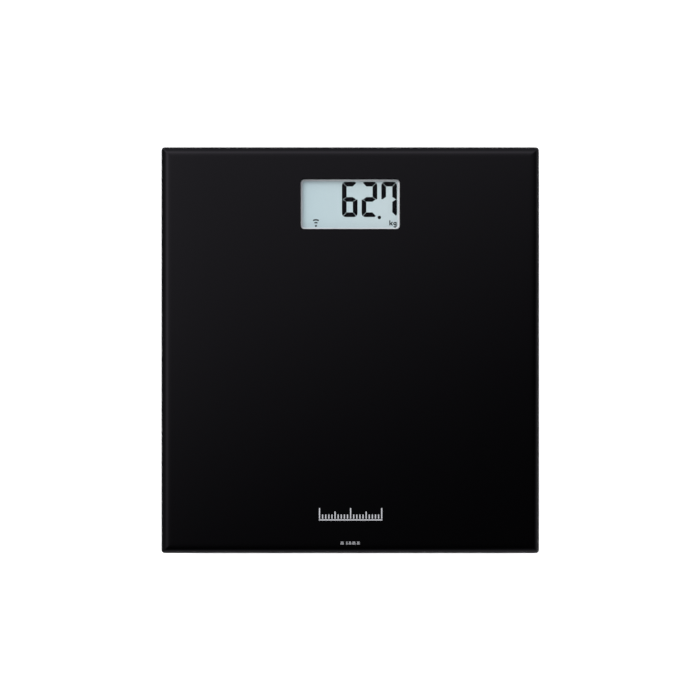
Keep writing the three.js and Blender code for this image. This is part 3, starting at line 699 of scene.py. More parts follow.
def glass_plate():
    """The top falls away gently over its last few millimetres and then turns into the ground rim."""
    gentle = {"reach": 9, "drop": 0.9}
    turn = {"reach": 0.9, "drop": 0.9}
    under_edge = 0.8  # radius of the lower edge
    corner_radius, least_radius = 2.6, 0.35
    margin = 0.15  # of clear glass round the window
    bare_rim = 1.0  # how far in from the edge the print starts
    ground_top = GLASS.z0 + 3.3
    under_steps, top_steps = 4, 40
    levels = []
    for i in range(under_steps + 1):
        angle = i / under_steps * math.pi / 2
        levels.append((under_edge * (1 - math.sin(angle)), GLASS.z0 + under_edge * (1 - math.cos(angle))))
    for i in range(top_steps + 1):
        inset = gentle["reach"] * (i / top_steps) ** 2
        drop = gentle["drop"] * (1 - inset / gentle["reach"]) ** 4
        if inset < turn["reach"]:
            drop += turn["drop"] * (1 - math.sqrt(1 - (1 - inset / turn["reach"]) ** 2))
        levels.append((inset, FACE - drop))
    rings = []
    for inset, z in levels:
        outline = plate_outline(inset, max(corner_radius - inset, least_radius))
        rings.append([(x, y, z) for x, y in outline])
    rings.append([(x, y, FACE) for x, y in window_outline(margin)])
    looks = ["window_glass", "ground_glass", "rim_glass", "printed_glass"]
    window, ground, rim, over_print = range(len(looks))

    def look_of(face):
        """The window and the whole underside are the two faces with more than four corners."""
        x, y, z = face.center / MM
        inset = min(GLASS.width / 2 - abs(x), GLASS.depth / 2 - abs(y))
        if len(face.vertices) > 4:
            return window
        if z < ground_top:
            return ground
        return rim if inset < bare_rim else over_print

    piece("glass_plate", loft(rings), looks, ["glass_platform"], sharp=60, by_face=look_of)


def ink_sheet():
    """The black print, with the window left out of it. Its back shows past the tray."""
    corner_radius = 1.7
    sheet = prism(rounded_rectangle(PRINT.width, PRINT.depth, corner_radius), PRINT.z0, PRINT_LEVEL)
    sheet = cut(sheet, [prism(window_outline(), 0, GLASS.z1)])

    def is_back(face):
        return int(face.normal.z < -0.5)

    piece("ink_sheet", sheet, ["ink", "ink_back"], ["backing_print"], by_face=is_back)


def printed(name, outlines):
    """Flat marks screened on the face of the glass."""
    marks = gather([prism(outline, FACE - SINK, GLASS.z1) for outline in outlines])
    piece(name, marks, "pale_ink")


def bar(x, y, width, height):
    """An upright rectangle standing on the point x, y."""
    left, right = x - width / 2, x + width / 2
    return [(left, y), (right, y), (right, y + height), (left, y + height)]


def graduation_mark():
    """A plain row of rule marks where a maker would sign the glass."""
    middle, y = 0.3, -126.0
    count, pitch, line = 21, 2.3, 0.85
    base, gap = 0.8, 0.5
    foot_of_marks = y + base + gap
    outlines = [bar(middle, y, pitch * (count - 1) + 1.0, base)]
    for i in range(count):
        top = 9.2 if i % 10 == 0 else 6.6 if i % 5 == 0 else 4.4
        x = middle + (i - (count - 1) / 2) * pitch
        outlines.append(bar(x, foot_of_marks, line, top - base - gap))
    printed("graduation_mark", outlines)


def footnote_mark():
    """Two short rows of dashes for the small print near the front edge."""
    y, row, line, shift = -143.6, 1.3, 0.5, 0.4
    dashes = [(-6.4, 2.6), (-2.9, 1.2), (-0.6, 2.0), (2.3, 2.6), (5.6, 2.2)]
    outlines = [bar(x + shift, y, width, line) for x, width in dashes]
    outlines += [bar(x + shift, y + row, width * 0.8, line) for x, width in dashes]
    printed("footnote_mark", outlines)


# ---- Display ----
def display_frame():
    """A white bezel. Its lip slopes down to the display on all four sides."""
    opening = {"width": 71, "depth": 34.6, "radius": 1.6}
    corner_radius, lip = 2, 0.75
    room = {"half_x": 37, "half_y": 19.8}  # under the display
    y = WINDOW["y"]

    def mouth_outline(grow):
        width, depth = opening["width"] + 2 * grow, opening["depth"] + 2 * grow
        return rounded_rectangle(width, depth, opening["radius"] + grow, y=y)

    outer = rounded_rectangle(LCD_FRAME.width, LCD_FRAME.depth, corner_radius, y=y)
    body = prism(outer, LCD_FRAME.z0, LCD_FRAME.z1)
    past_top = LCD_FRAME.z1 + 0.01
    mouth = stack(mouth_outline, [(LCD.z0, 0), (LCD.z1 + 0.25, 0), (past_top, lip)])
    pocket = block(LCD.x0 - FIT, LCD.x1 + FIT, LCD.y0 - FIT, LCD.y1 + FIT, LCD.z0 - SEAT, LCD.z1 + SEAT)
    under = slab(0, y, room["half_x"], room["half_y"], 0, LCD.z0)
    piece("display_frame", cut(body, [mouth, pocket, under]), "frame", ["lcd_frame"])


def display_panel():
    """Two panes of display glass, the lower one longer at the contact side, and the film on top."""
    ledge, soft, overlap = 2.6, 0.1, 0.05
    film_inset, film_thick, film_radius = 1.0, 0.2, 0.4
    split = (LCD.z0 + LCD.z1) / 2
    film_base = LCD.z1 - film_thick
    lower = soft_block(LCD.x0, LCD.x1, LCD.y0, LCD.y1, LCD.z0, split, soft)
    upper = soft_block(LCD.x0, LCD.x1, LCD.y0 + ledge, LCD.y1, split - overlap, film_base, soft)
    piece("display_glass", join([lower, upper]), "film", ["lcd_panel"])
    width, depth = LCD.width - 2 * film_inset, LCD.depth - ledge - 2 * film_inset
    film = rounded_rectangle(width, depth, film_radius, LCD.x, LCD.y + ledge / 2, steps=3)
    piece("display_polariser", prism(film, film_base, LCD.z1), "film")


# A seven-segment digit. round is its corners' radius, and tip is how far its middle bar's points stand in.
DIGIT = {
    "width": 11.6,
    "height": 26.2,
    "stroke": 3.45,
    "gap": 0.22,
    "round": 2.9,
    "tip": 0.95,
    "pitch": 14.67,
}
SEGMENTS = {"2": "abged", "6": "afgecd", "7": "abcf"}


def arc_points(x, y, radius, start, end, steps=16):
    """Points along an arc about x, y, between two angles in degrees."""
    angles = [math.radians(start + (end - start) * i / steps) for i in range(steps + 1)]
    return [(x + radius * math.cos(a), y + radius * math.sin(a)) for a in angles]


def digit_segment(letter):
    """The outline of one of the seven segments, a to g, with its digit's lower left corner at 0, 0."""
    w, h, t, r, tip = (DIGIT[key] for key in ("width", "height", "stroke", "round", "tip"))
    half_gap = DIGIT["gap"] / 2
    mitre = half_gap * math.sqrt(2)
    middle = h / 2

    def corner(start, end):
        """Along the digit's rounded upper left corner."""
        return arc_points(r, h - r, r, start, end, 5)

    slip = math.degrees(half_gap / r)
    if letter in "ad":
        left = corner(90, 135 - slip) + [(t + mitre, h - t)]
        shape = left + [(w - x, y) for x, y in reversed(left)]
    elif letter == "g":
        left = [(t + mitre / 2, middle + t / 2), (tip + mitre, middle), (t + mitre / 2, middle - t / 2)]
        shape = left + [(w - x, y) for x, y in reversed(left)]
    else:
        shape = corner(135 + slip, 180) + [
            (0, middle + half_gap),
            (tip - half_gap, middle + half_gap),
            (t, middle + t / 2 + half_gap),
            (t, h - t - mitre),
        ]
    if letter in "bc":
        shape = [(w - x, y) for x, y in shape]
    if letter in "dce":
        shape = [(x, h - y) for x, y in shape]
    return shape


def stroke(points, width):
    """A line of even width through points, as one outline with square ends."""
    left, right = [], []
    for i, (x, y) in enumerate(points):
        x0, y0 = points[max(i - 1, 0)]
        x1, y1 = points[min(i + 1, len(points) - 1)]
        length = math.hypot(x1 - x0, y1 - y0)
        nx, ny = -(y1 - y0) / length * width / 2, (x1 - x0) / length * width / 2
        left.append((x + nx, y + ny))
        right.append((x - nx, y - ny))
    return left + right[::-1]


def unit_letters():
    """A small upright k and g."""
    line = 0.8
    left, base, x_height, ascent = 29.1, 92.9, 2.5, 3.8
    arm_base, leg_top, arm_reach, leg_reach = 0.85, 1.15, 2.35, 2.5
    descent = 0.4
    g_centre = left + 4.2
    bowl = x_height / 2 - line / 2
    middle = base + x_height / 2
    lines = [
        [(left + line / 2, base), (left + line / 2, base + ascent)],
        [(left + line, base + arm_base), (left + arm_reach, base + x_height)],
        [(left + line + 0.35, base + leg_top), (left + leg_reach, base)],
        arc_points(g_centre, middle, bowl, 0, 180),
        arc_points(g_centre, middle, bowl, 180, 360),
        [(g_centre + bowl, base + x_height), (g_centre + bowl, base - descent)],
        arc_points(g_centre, base - descent, bowl, 360, 200, 10),
    ]
    return [stroke(points, line) for points in lines]


def wireless_icon():
    """A dot with two arcs over it."""
    x, y = -25.5, 92.5
    line, dot = 1.0, 0.75
    arcs = [stroke(arc_points(x, y, radius, 62, 118), line) for radius in (2.4, 4.5)]
    return [arc_points(x, y, dot, 0, 345, 23), *arcs]


def display_marks():
    """The reading, its unit and the wireless sign, as darkened areas on the display."""
    bottom, top = LCD.z1 - SINK, LCD.z1 + 0.015
    first_x, digit_y = -6.15, 99.1
    point = {"x": 21.7, "y": 98.8, "radius": 1.3}
    outlines = []
    for place, digit in enumerate("627"):
        shift = first_x + place * DIGIT["pitch"]
        for letter in SEGMENTS[digit]:
            outlines.append([(x + shift, y + digit_y) for x, y in digit_segment(letter)])
    outlines.append(arc_points(point["x"], point["y"], point["radius"], 0, 348, 29))
    symbols = unit_letters() + wireless_icon()
    for name, shapes in (("display_reading", outlines), ("display_symbols", symbols)):
        marks = gather([prism(outline, bottom, top) for outline in shapes])
        piece(name, marks, "segment")


glass_plate()
ink_sheet()
graduation_mark()
footnote_mark()
display_frame()
display_panel()
display_marks()


# ---- Tray ----
FOOT = {"x": 101, "y": 111.5}
WELL = {"radius": 25.3, "wall": 2, "low": 15.2, "high": 17.2}
CELL = {"side": 34, "low": 9.6, "high": 12.5}
LEAD = {"z": 13.2, "lane": 68, "end": 56.5, "front_end": 96, "bend": 7, "way": 3, "way_low": 12.2}
BAY = {"half": 23, "y0": 8, "y1": 60, "wall": 2.4, "ceiling": 17.5}
PITCH = 11.5  # between battery cells
TAB = {"half": 8, "y0": 61.1, "y1": 67.1}
DOOR_PLATE = {"half": 23.9, "y0": 7.1, "y1": 61.1, "top": 6.6}
BUTTON_RADIUS = 4.7
BOSSES = [(x, y) for y in (86.5, 129.5) for x in (-57, 57)]
TALL = 40  # past any height in the tray
ROOT = 0.4  # how far a rib, prong or leaf goes into what it stands on


def corner_place(corner):
    """(x, y) of a corner's foot."""
    return FOOT["x"] * (1 if "right" in corner else -1), FOOT["y"] * (1 if "back" in corner else -1)


def gauge_y(corner):
    """The load cells on the right lie half a turn round, so their gauges are on the near side."""
    return corner_place(corner)[1] + (-5 if "right" in corner else 5)


def body_stack(levels):
    """A closed body through (inset from the glass, level, corner radius) rounded rectangles."""
    return loft([[(x, y, z) for x, y in plate_outline(inset, radius)] for inset, z, radius in levels])


def tray_skin(inside=0.0):
    """The outer side: a rounded foot edge, a slope that steepens as it rises, and a soft top edge."""
    low, high = TRAY.z0, TRAY.z1
    foot_edge = {"inset": 12.6, "radius": 9, "in": 1.9, "up": 1.2, "turn": math.radians(50), "steps": 5}
    top_edge = {"inset": 3.4, "radius": 5, "drop": 0.5}
    steepening, slope_steps = 2.3, 12
    levels = []
    for i in range(foot_edge["steps"] + 1):
        angle = i / foot_edge["steps"] * foot_edge["turn"]
        inset = foot_edge["inset"] - foot_edge["in"] * math.sin(angle)
        levels.append((inset, low + foot_edge["up"] * (1 - math.cos(angle)), foot_edge["radius"]))
    start_inset, start_z, start_radius = levels[-1]
    for i in range(1, slope_steps + 1):
        rise = i / slope_steps
        inset = top_edge["inset"] + (start_inset - top_edge["inset"]) * (1 - rise) ** steepening
        z = start_z + (high - top_edge["drop"] - start_z) * rise
        levels.append((inset, z, top_edge["radius"] + (start_radius - top_edge["radius"]) * (1 - rise)))
    levels.append((top_edge["inset"] + 0.1, high - 0.15, top_edge["radius"]))
    levels.append((top_edge["inset"] + 0.4, high, top_edge["radius"]))
    return body_stack([(inset + inside, z, radius) for inset, z, radius in levels])


def tray_cavity():
    """The hollow, which follows the skin inside and narrows under the flange that the glass is bonded to."""
    under_flange, flange_inset = TRAY.z1 - WALL, 12.4
    return body_stack([
        (13.2, FLOOR_TOP, 7),
        (11.0, 8.2, 6.5),
        (8.6, 10.0, 5.5),
        (7.0, 13.0, 4.5),
        (6.1, under_flange, 4.5),
        (flange_inset, under_flange, 2),
        (flange_inset, TRAY.z1 + 1, 2),
    ])


def way(x0, x1, y0, y1):
    """Room cut through the ribs for a lead."""
    return block(min(x0, x1), max(x0, x1), y0, y1, LEAD["way_low"], TALL)


def tray_ribs():
    """A grid of ribs that stops short of the board, cleared for the wells, the battery bay and the leads."""
    half, clearance, skin = 0.8, 1, 0.9
    near, near_end, far = 34, 78, 88
    wide, deep = GLASS.width / 2, GLASS.depth / 2
    board_end = BOARD.width / 2 + 10
    along = [(0, -deep, BAY["y0"])]
    along += [(x, -deep, near_end) for x in (-near, near)]
    along += [(x, -FOOT["y"], FOOT["y"]) for x in (-far, far)]
    across = [(y, -wide, wide) for y in (-FOOT["y"], -75, -37.5, 0, 37.5, 74)]
    across += [(FOOT["y"], -wide, -board_end), (FOOT["y"], board_end, wide)]
    low, high = FLOOR_TOP - ROOT, TRAY.z1
    ribs = [block(x - half, x + half, y0, y1, low, high) for x, y0, y1 in along]
    ribs += [block(x0, x1, y - half, y + half, low, high) for y, x0, x1 in across]

    clear = [disc(WELL["radius"] + WELL["wall"] / 2, 0, TALL, *corner_place(c)) for c in CORNERS]
    bay_half = BAY["half"] + clearance
    clear.append(block(-bay_half, bay_half, BAY["y0"] - clearance, TAB["y1"] + clearance, 0, TALL))
    reach = LEAD["way"]
    for side in (-1, 1):
        lane, supply = side * LEAD["lane"], side * PITCH * 1.5
        clear.append(way(lane - reach, lane + reach, -deep, BOARD.y1))
        clear.append(way(supply - reach, supply + reach, BAY["y1"], BOARD.y0))
    for corner in CORNERS:
        x, y = corner_place(corner)[0], gauge_y(corner)
        clear.append(way(x, math.copysign(LEAD["lane"], x), y - reach, y + reach))
    return boolean(cut(join(ribs), clear), [tray_skin(skin)], "INTERSECT")


def tray_well(corner):
    """A round pocket for the load cell and foot, whose ceiling bears on the cell through four pillars."""
    x, y = corner_place(corner)
    radius, pillar_half, bar_half = WELL["radius"], 2.5, 1
    pillar_place = CELL["side"] / 2 - 3
    bar_reach = radius + 1
    cup = disc(radius + WELL["wall"], TRAY.z0, TRAY.z1, x, y)
    parts = [cut(cup, [disc(radius, 0, WELL["low"], x, y), disc(radius, WELL["high"], TALL, x, y)])]
    for px in (x - pillar_place, x + pillar_place):
        for py in (y - pillar_place, y + pillar_place):
            parts.append(slab(px, py, pillar_half, pillar_half, CELL["high"] + SEAT, WELL["high"]))
    for reach_x, reach_y in ((bar_reach, bar_half), (bar_half, bar_reach)):
        parts.append(slab(x, y, reach_x, reach_y, WELL["low"], TRAY.z1))
    return join(parts)


def tray_bay():
    """The battery box, with slots for the door's two tongues and for the two terminals' tails."""
    half, y0, y1, wall = BAY["half"], BAY["y0"], BAY["y1"], BAY["wall"]
    tongue_slot = {"half": 1.9, "high": 10.2}
    tail_slot = {"half": 1.8, "low": 12.5, "high": 13.7}
    box = block(-half - wall, half + wall, y0 - wall, y1 + wall, FLOOR_TOP - ROOT, TRAY.z1)
    hollow = [block(-half, half, y0, y1, 0, BAY["ceiling"])]
    for side in (-1, 1):
        x, reach = side * PITCH, tongue_slot["half"]
        hollow.append(block(x - reach, x + reach, y0 - wall - 1, y0 + 1, FLOOR_TOP, tongue_slot["high"]))
        x, reach = side * PITCH * 1.5, tail_slot["half"]
        hollow.append(block(x - reach, x + reach, y1 - 1, y1 + wall + 1, tail_slot["low"], tail_slot["high"]))
    return cut(box, hollow)


def round_mouth(radius, high, x, y, lead_in=0.45):
    """A round hole from below, with a chamfer at its mouth."""
    low = TRAY.z0
    wide = radius + lead_in
    profile = [(0, low - 1), (wide, low - 1), (wide, low), (radius, low + lead_in), (radius, high), (0, high)]
    return lathe(profile, x, y)


def finger_scoop():
    """A shallow rounded hollow in the floor behind the door's tab."""
    radius, half, end_fall, depth, beyond_tab = 12, 8.4, 1.2, 1, 3.5
    steps = 10
    rings = []
    for i in range(steps + 1):
        angle = math.pi * (i / steps - 0.5)
        reach = radius - end_fall * (1 - math.cos(angle))
        x, y, z = half * math.sin(angle), TAB["y1"] + beyond_tab, TRAY.z0 + depth - radius
        rings.append([(x, y + reach * math.cos(a), z + reach * math.sin(a)) for a in turns(CIRCLE)])
    return loft(rings)


def door_outline(half, grow, radius):
    """The door's plate or its opening: half its width, what it adds at each end, its corners' radius."""
    y0, y1 = DOOR_PLATE["y0"] - grow, DOOR_PLATE["y1"] + grow
    return rounded_rectangle(2 * half, y1 - y0, radius, y=(y0 + y1) / 2, steps=4)


def doorway():
    """The opening for the door's plate, flared at its mouth."""
    half, radius, flare = DOOR_PLATE["half"] + FIT, 0.8, 0.35
    levels = [(TRAY.z0 - 1, flare), (TRAY.z0, flare), (TRAY.z0 + flare, 0), (FLOOR_TOP, 0)]
    return stack(lambda grow: door_outline(half + grow, FIT + grow, radius + grow), levels)


def base_tray():
    """The whole moulding: the shell, what stands in it, and what opens through its floor."""
    boss_radius, screw_hole, key_lead_in = 3.2, 1.1, 0.35
    through = FLOOR_TOP + 1
    shell = cut(tray_skin(), [tray_cavity()])
    bosses = [disc(boss_radius, FLOOR_TOP - ROOT, BOARD.z0 - SEAT, x, y, 40) for x, y in BOSSES]
    body = join([shell, tray_ribs(), tray_bay(), *bosses, *[tray_well(c) for c in CORNERS]])
    holes = [disc(screw_hole, FLOOR_TOP, TALL, x, y, 24) for x, y in BOSSES]
    for corner in CORNERS:
        x, y = corner_place(corner)
        holes.append(round_mouth(WELL["radius"], through, x, y))
        gate_x = x - math.copysign(WELL["radius"] + WELL["wall"] / 2, x)
        reach = LEAD["way"]
        holes.append(slab(gate_x, gauge_y(corner), reach, reach, LEAD["way_low"], WELL["low"]))
    tab_half = TAB["half"] + FIT
    holes += [
        doorway(),
        block(-BAY["half"], BAY["half"], BAY["y0"], BAY["y1"], 0, through),
        block(-tab_half, tab_half, TAB["y0"], TAB["y1"] + FIT, 0, through),
        finger_scoop(),
        round_mouth(BUTTON_RADIUS + FIT, through, BUTTON.x, BUTTON.y, key_lead_in),
    ]
    piece("tray", cut(body, holes), "tray", ["base_tray"])


# ---- Feet ----
def rounded_corner(radius, x, z, start, steps=5):
    """Points of a quarter circle in a (radius, z) profile, about x, z, from an angle in degrees."""
    return arc_points(x, z, radius, start, start + 90, steps)


def retainer(corner):
    """The ring that closes the well, with four prongs up to the load cell and four slots for a spanner."""
    x, y = corner_place(corner)
    inner, outer, low, high = 17.9, 25.0, TRAY.z0, FLOOR_TOP - SEAT
    inner_edge, outer_edge = 0.35, 0.4
    prong_size = {"inner": 19.6, "outer": 23.8, "half": 2.5}
    slot_size = {"inner": 20.4, "outer": 22.6, "half": 0.7, "depth": 0.7}
    profile = [(inner, low + inner_edge), (inner + inner_edge, low), (outer - outer_edge, low)]
    ring = lathe(profile + [(outer, low + outer_edge), (outer, high), (inner, high)], x, y)
    prongs, slots = [], []
    for i in range(4):
        half = prong_size["half"]
        x0, x1 = prong_size["inner"], prong_size["outer"]
        prongs.append(soft_block(x0, x1, -half, half, high - ROOT, CELL["low"] - SEAT, 0.25))
        half = slot_size["half"]
        x0, x1 = slot_size["inner"], slot_size["outer"]
        slots.append(block(x0, x1, -half, half, low - 1, low + slot_size["depth"]))
        turn = Matrix.Translation((x, y, 0)) @ Matrix.Rotation((i + 0.5) * math.pi / 2, 4, "Z")
        for mesh in (prongs[-1], slots[-1]):
            mesh.transform(turn)
    shape = cut(join([ring, *prongs]), slots)
    piece(f"retainer_{corner}", shape, "foot", [f"cell_retainer_{corner}"])


def foot(corner):
    """A plastic cup with a flange that the retainer holds, and a stem that bears on the load cell."""
    x, y = corner_place(corner)
    cup = [(0, 3.6), (16.6, 3.6), (16.6, 1.3), (16.75, 1.2)]
    cup += rounded_corner(0.7, 16.8, 1.9, -90)
    cup += [(17.5, 6.7), (17.65, 7.05), (18.0, 7.2)]
    cup += rounded_corner(0.3, 18.7, 7.5, -90, 3) + rounded_corner(0.3, 18.7, 8.1, 0, 3)
    cup += [(4.6, 8.4), (4.1, 8.5), (3.9, 8.7)] + rounded_corner(0.3, 3.6, 8.7, 0, 3)[1:] + [(0, 9)]
    piece(f"foot_{corner}", lathe(cup, x, y), "foot", [f"foot_cup_{corner}"], f"foot_{corner}")


def sole(corner):
    """A rubber pad with four round grooves in its tread."""
    depth, slope, width = 0.6, 0.2, 0.9
    radius, top, edge = 16.4, 3.5, 1.0
    pad = [(0, 0)]
    for start in (3.6, 6.8, 10.0, 13.2):
        end = start + width + 2 * slope
        pad += [(start, 0), (start + slope, depth), (end - slope, depth), (end, 0)]
    pad += rounded_corner(edge, radius - edge, edge, -90) + [(radius, top), (0, top)]
    shape = lathe(pad, *corner_place(corner))
    piece(f"sole_{corner}", shape, "rubber", [f"foot_pad_{corner}"], f"foot_{corner}")


# ---- Door and button ----
def latch(low, top):
    """A sprung leaf, folded over at its crest, with a nose that points at the tray's ledge."""
    leaf, inner, outer, crest = 1.0, 62.6, 65.6, 12.6
    half, overlap, fold_steps = 6, 0.01, 12
    centre = (inner + outer + leaf) / 2
    wide, narrow = (outer + leaf - inner) / 2, (outer - inner - leaf) / 2
    fold_z = crest - wide
    half_turn = [math.pi * i / fold_steps for i in range(fold_steps + 1)]
    fold = [(centre + wide * math.cos(a), fold_z + wide * math.sin(a)) for a in half_turn]
    fold += [(centre + narrow * math.cos(a), fold_z + narrow * math.sin(a)) for a in reversed(half_turn)]
    root = outer + leaf / 2
    nose = [(root, 7.1), (TAB["y1"], 7.8), (TAB["y1"], 8.1), (root, 8.6)]
    folded, pointed = (loft([[(x, y, z) for y, z in shape] for x in (-half, half)]) for shape in (fold, nose))
    return [
        folded,
        block(-half, half, inner, inner + leaf, top - ROOT, fold_z + overlap),
        block(-half, half, outer, outer + leaf, low, fold_z + overlap),
        pointed,
    ]


def battery_door():
    """A flush panel with two tongues at its hinge edge and a sprung latch at its tab."""
    low, top, half = TRAY.z0, DOOR_PLATE["top"], DOOR_PLATE["half"]
    y0, y1 = DOOR_PLATE["y0"], DOOR_PLATE["y1"]
    edge, top_edge = 0.35, 0.15
    levels = [(low, -edge), (low + edge, 0), (top - top_edge, 0), (top, -top_edge)]
    plate = stack(lambda grow: door_outline(half + grow, grow, 0.9), levels)
    tab_end = 64.0
    parts = [plate, soft_block(-TAB["half"], TAB["half"], y1 - 1.5, tab_end, low, top, 0.3)]
    tongue = {"half": 1.6, "y0": 4.2, "z0": 7.0, "z1": 8.2}
    root_end, neck_top = y0 + 1.4, 8.1
    for side in (-1, 1):
        x0, x1 = side * PITCH - tongue["half"], side * PITCH + tongue["half"]
        parts.append(soft_block(x0, x1, tongue["y0"], root_end, tongue["z0"], tongue["z1"], 0.25))
        parts.append(block(x0, x1, y0 + 0.02, root_end, top - ROOT, neck_top))
    parts += latch(low, top)
    parts += [block(x - 0.6, x + 0.6, y0 + 3, y1 - 3, top - 0.2, top + 0.05) for x in (-PITCH, 0, PITCH)]
    grip = {"half_x": 5.5, "half_y": 0.35, "depth": 0.45}
    carved = []
    for y in (56.6, 58.2, 59.8, 61.4):
        carved.append(slab(0, y, grip["half_x"], grip["half_y"], low - 1, low + grip["depth"], 0.1))
    carved.append(prism([(-3.2, 49.5), (3.2, 49.5), (0, 54.2)], low - 1, low + 0.7))  # an arrow
    piece("door", cut(join(parts), carved), "tray", ["battery_door"], "battery_door")


def button():
    """A dished key with a flange inside the tray."""
    low = BUTTON.z0
    profile = [(0, low + 0.45), (1.5, low + 0.42), (2.8, low + 0.28), (3.6, low + 0.08), (3.95, low)]
    profile += rounded_corner(0.45, 4.25, low + 0.45, -90)
    profile += [(4.7, 6.9), (6.1, 6.9), (6.2, 7.0), (6.2, 7.4), (6.1, 7.5), (0, 7.5)]
    piece("button", lathe(profile, BUTTON.x, BUTTON.y), "button", ["unit_button"], "unit_button")


base_tray()
for corner in CORNERS:
    retainer(corner)
    foot(corner)
    sole(corner)
battery_door()
button()

# ---- Wires ----
def tube(points, radius, facets=14):
    """A round wire along points, cut square at both ends."""
    points = [Vector(point) for point in points]
    last = len(points) - 1
    across = None
    rings = []
    for i, point in enumerate(points):
        ahead = (points[min(i + 1, last)] - points[max(i - 1, 0)]).normalized()
        across = across or ahead.orthogonal()
        across = (across - ahead * across.dot(ahead)).normalized()
        side = ahead.cross(across)
        rings.append([
            tuple(point + (across * math.cos(a) + side * math.sin(a)) * radius) for a in turns(facets)
        ])
    return loft(rings)


def rounded_route(corners, bend, z):
    """Points along straight runs with rounded turns between them."""
    steps = 12
    corners = [Vector((x, y, z)) for x, y in corners]
    points = [corners[0]]
    for before, corner, after in zip(corners, corners[1:], corners[2:]):
        start = corner + (before - corner).normalized() * bend
        end = corner + (after - corner).normalized() * bend
        for i in range(steps + 1):
            t = i / steps
            points.append(start * (1 - t) ** 2 + corner * 2 * t * (1 - t) + end * t ** 2)
    return points + [corners[-1]]


def beside(points, offset):
    """The route moved sideways in plan."""
    last = len(points) - 1
    moved = []
    for i, point in enumerate(points):
        ahead = (points[min(i + 1, last)] - points[max(i - 1, 0)]).normalized()
        moved.append(point + Vector((-ahead.y, ahead.x, 0)) * offset)
    return moved


def cell_lead(corner):
    """Three cores side by side, from the gauge to the board."""
    core, from_gauge = 0.54, 4.3
    x, y = corner_place(corner)[0], gauge_y(corner)
    side = math.copysign(1, x)
    start, end = (x - side * from_gauge, y), side * LEAD["end"]
    if "back" in corner:
        route = [start, (end, y)]
    else:
        lane = side * LEAD["lane"]
        route = [start, (lane, y), (lane, LEAD["front_end"]), (end, LEAD["front_end"])]
    points = rounded_route(route, LEAD["bend"], LEAD["z"])
    cores = [tube(beside(points, offset * 2 * core), core) for offset in (-1, 0, 1)]
    each = len(cores[0].polygons)
    piece(f"lead_{corner}", gather(cores), ["red", "lead", "black"], [f"cell_lead_{corner}"],
          by_face=lambda face: face.index // each)


def supply_lead(sign, x, look):
    """One wire from a terminal's tail to the board."""
    radius, past_wall, over_board = 0.65, 1.7, 3
    route = [(x, BAY["y1"] + BAY["wall"] + past_wall, LEAD["z"]), (x, BOARD.y0 + over_board, LEAD["z"])]
    piece(f"wire_{sign}", tube(route, radius, 20), look, [f"supply_lead_{sign}"])


# ---- Load cells ----
def load_cell(corner):
    """A pressed steel plate whose tongue carries the foot, with the potted gauge where it bends."""
    turn = Matrix.Rotation(math.pi if "right" in corner else 0, 4, "Z")
    place = Matrix.Translation((*corner_place(corner), 0)) @ turn
    tongue, end, root, gap = 6, -11, 11, 2
    slot = tongue + gap
    channel = [(-slot, root), (-slot, end - gap), (slot, end - gap), (slot, root)]
    channel += [(tongue, root), (tongue, end), (-tongue, end), (-tongue, root)]
    plate = prism(rounded_rectangle(CELL["side"], CELL["side"], 2), CELL["low"], CELL["high"])
    plate = soften(cut(plate, [prism(channel, 0, TALL)]), 0.2, 2, 50)
    plate.transform(place)
    piece(f"cell_{corner}", plate, "steel", [f"load_cell_{corner}"])
    width, depth, radius, y = 8, 6, 1.3, 5
    low = CELL["high"] + SEAT
    dome = [(0, 0), (0.35, 0.05), (0.6, 0.25), (0.8, 0.6), (0.93, 1.1), (1.0, 1.69)]

    def potting_outline(inset):
        return rounded_rectangle(width - 2 * inset, depth - 2 * inset, radius, y=y, steps=6)

    potting = stack(potting_outline, [(low + height, inset) for height, inset in dome])
    potting.transform(place)
    piece(f"gauge_{corner}", potting, "epoxy", [f"strain_gauge_{corner}"])


# ---- Board ----
ON_BOARD = BOARD.z1 + SEAT


def main_board():
    """A plain sheet with a hole for each screw."""
    hole = 1.5
    sheet = block(BOARD.x0, BOARD.x1, BOARD.y0, BOARD.y1, BOARD.z0, BOARD.z1)
    holes = [disc(hole, 0, TALL, x, y, 32) for x, y in BOSSES]
    piece("board", soften(cut(sheet, holes), 0.12, 1, 60), "board", ["main_board"])


def board_screw(number, x, y):
    """A pan head with a cross recess."""
    head, shank, pan, floor = ON_BOARD, 0.95, 2.6, 0.7
    profile = [(0, FLOOR_TOP + 0.6), (shank, FLOOR_TOP + 1.4), (shank, head), (pan - 0.15, head)]
    profile += [(pan, head + 0.15), (pan, head + floor), (2.4, head + 1.05), (1.9, head + 1.35)]
    profile += [(1.1, head + 1.55), (0, head + 1.6)]
    long, narrow = 1.4, 0.3
    recess = [slab(x, y, a, b, head + floor, TALL) for a, b in ((long, narrow), (narrow, long))]
    shape = cut(lathe(profile, x, y, 36), recess)
    piece(f"screw_{number}", shape, "nickel", [f"board_screw_{number}"])


def controller():
    """The round blob of resin over the controller."""
    dome = [(0, 0), (5, 0), (4.9, 0.25), (4.55, 0.65), (3.9, 1.0), (2.9, 1.28), (1.6, 1.45), (0, 1.5)]
    shape = lathe([(radius, ON_BOARD + height) for radius, height in dome], -51, 106.5, 48)
    piece("controller", shape, "chip", ["controller_blob"])


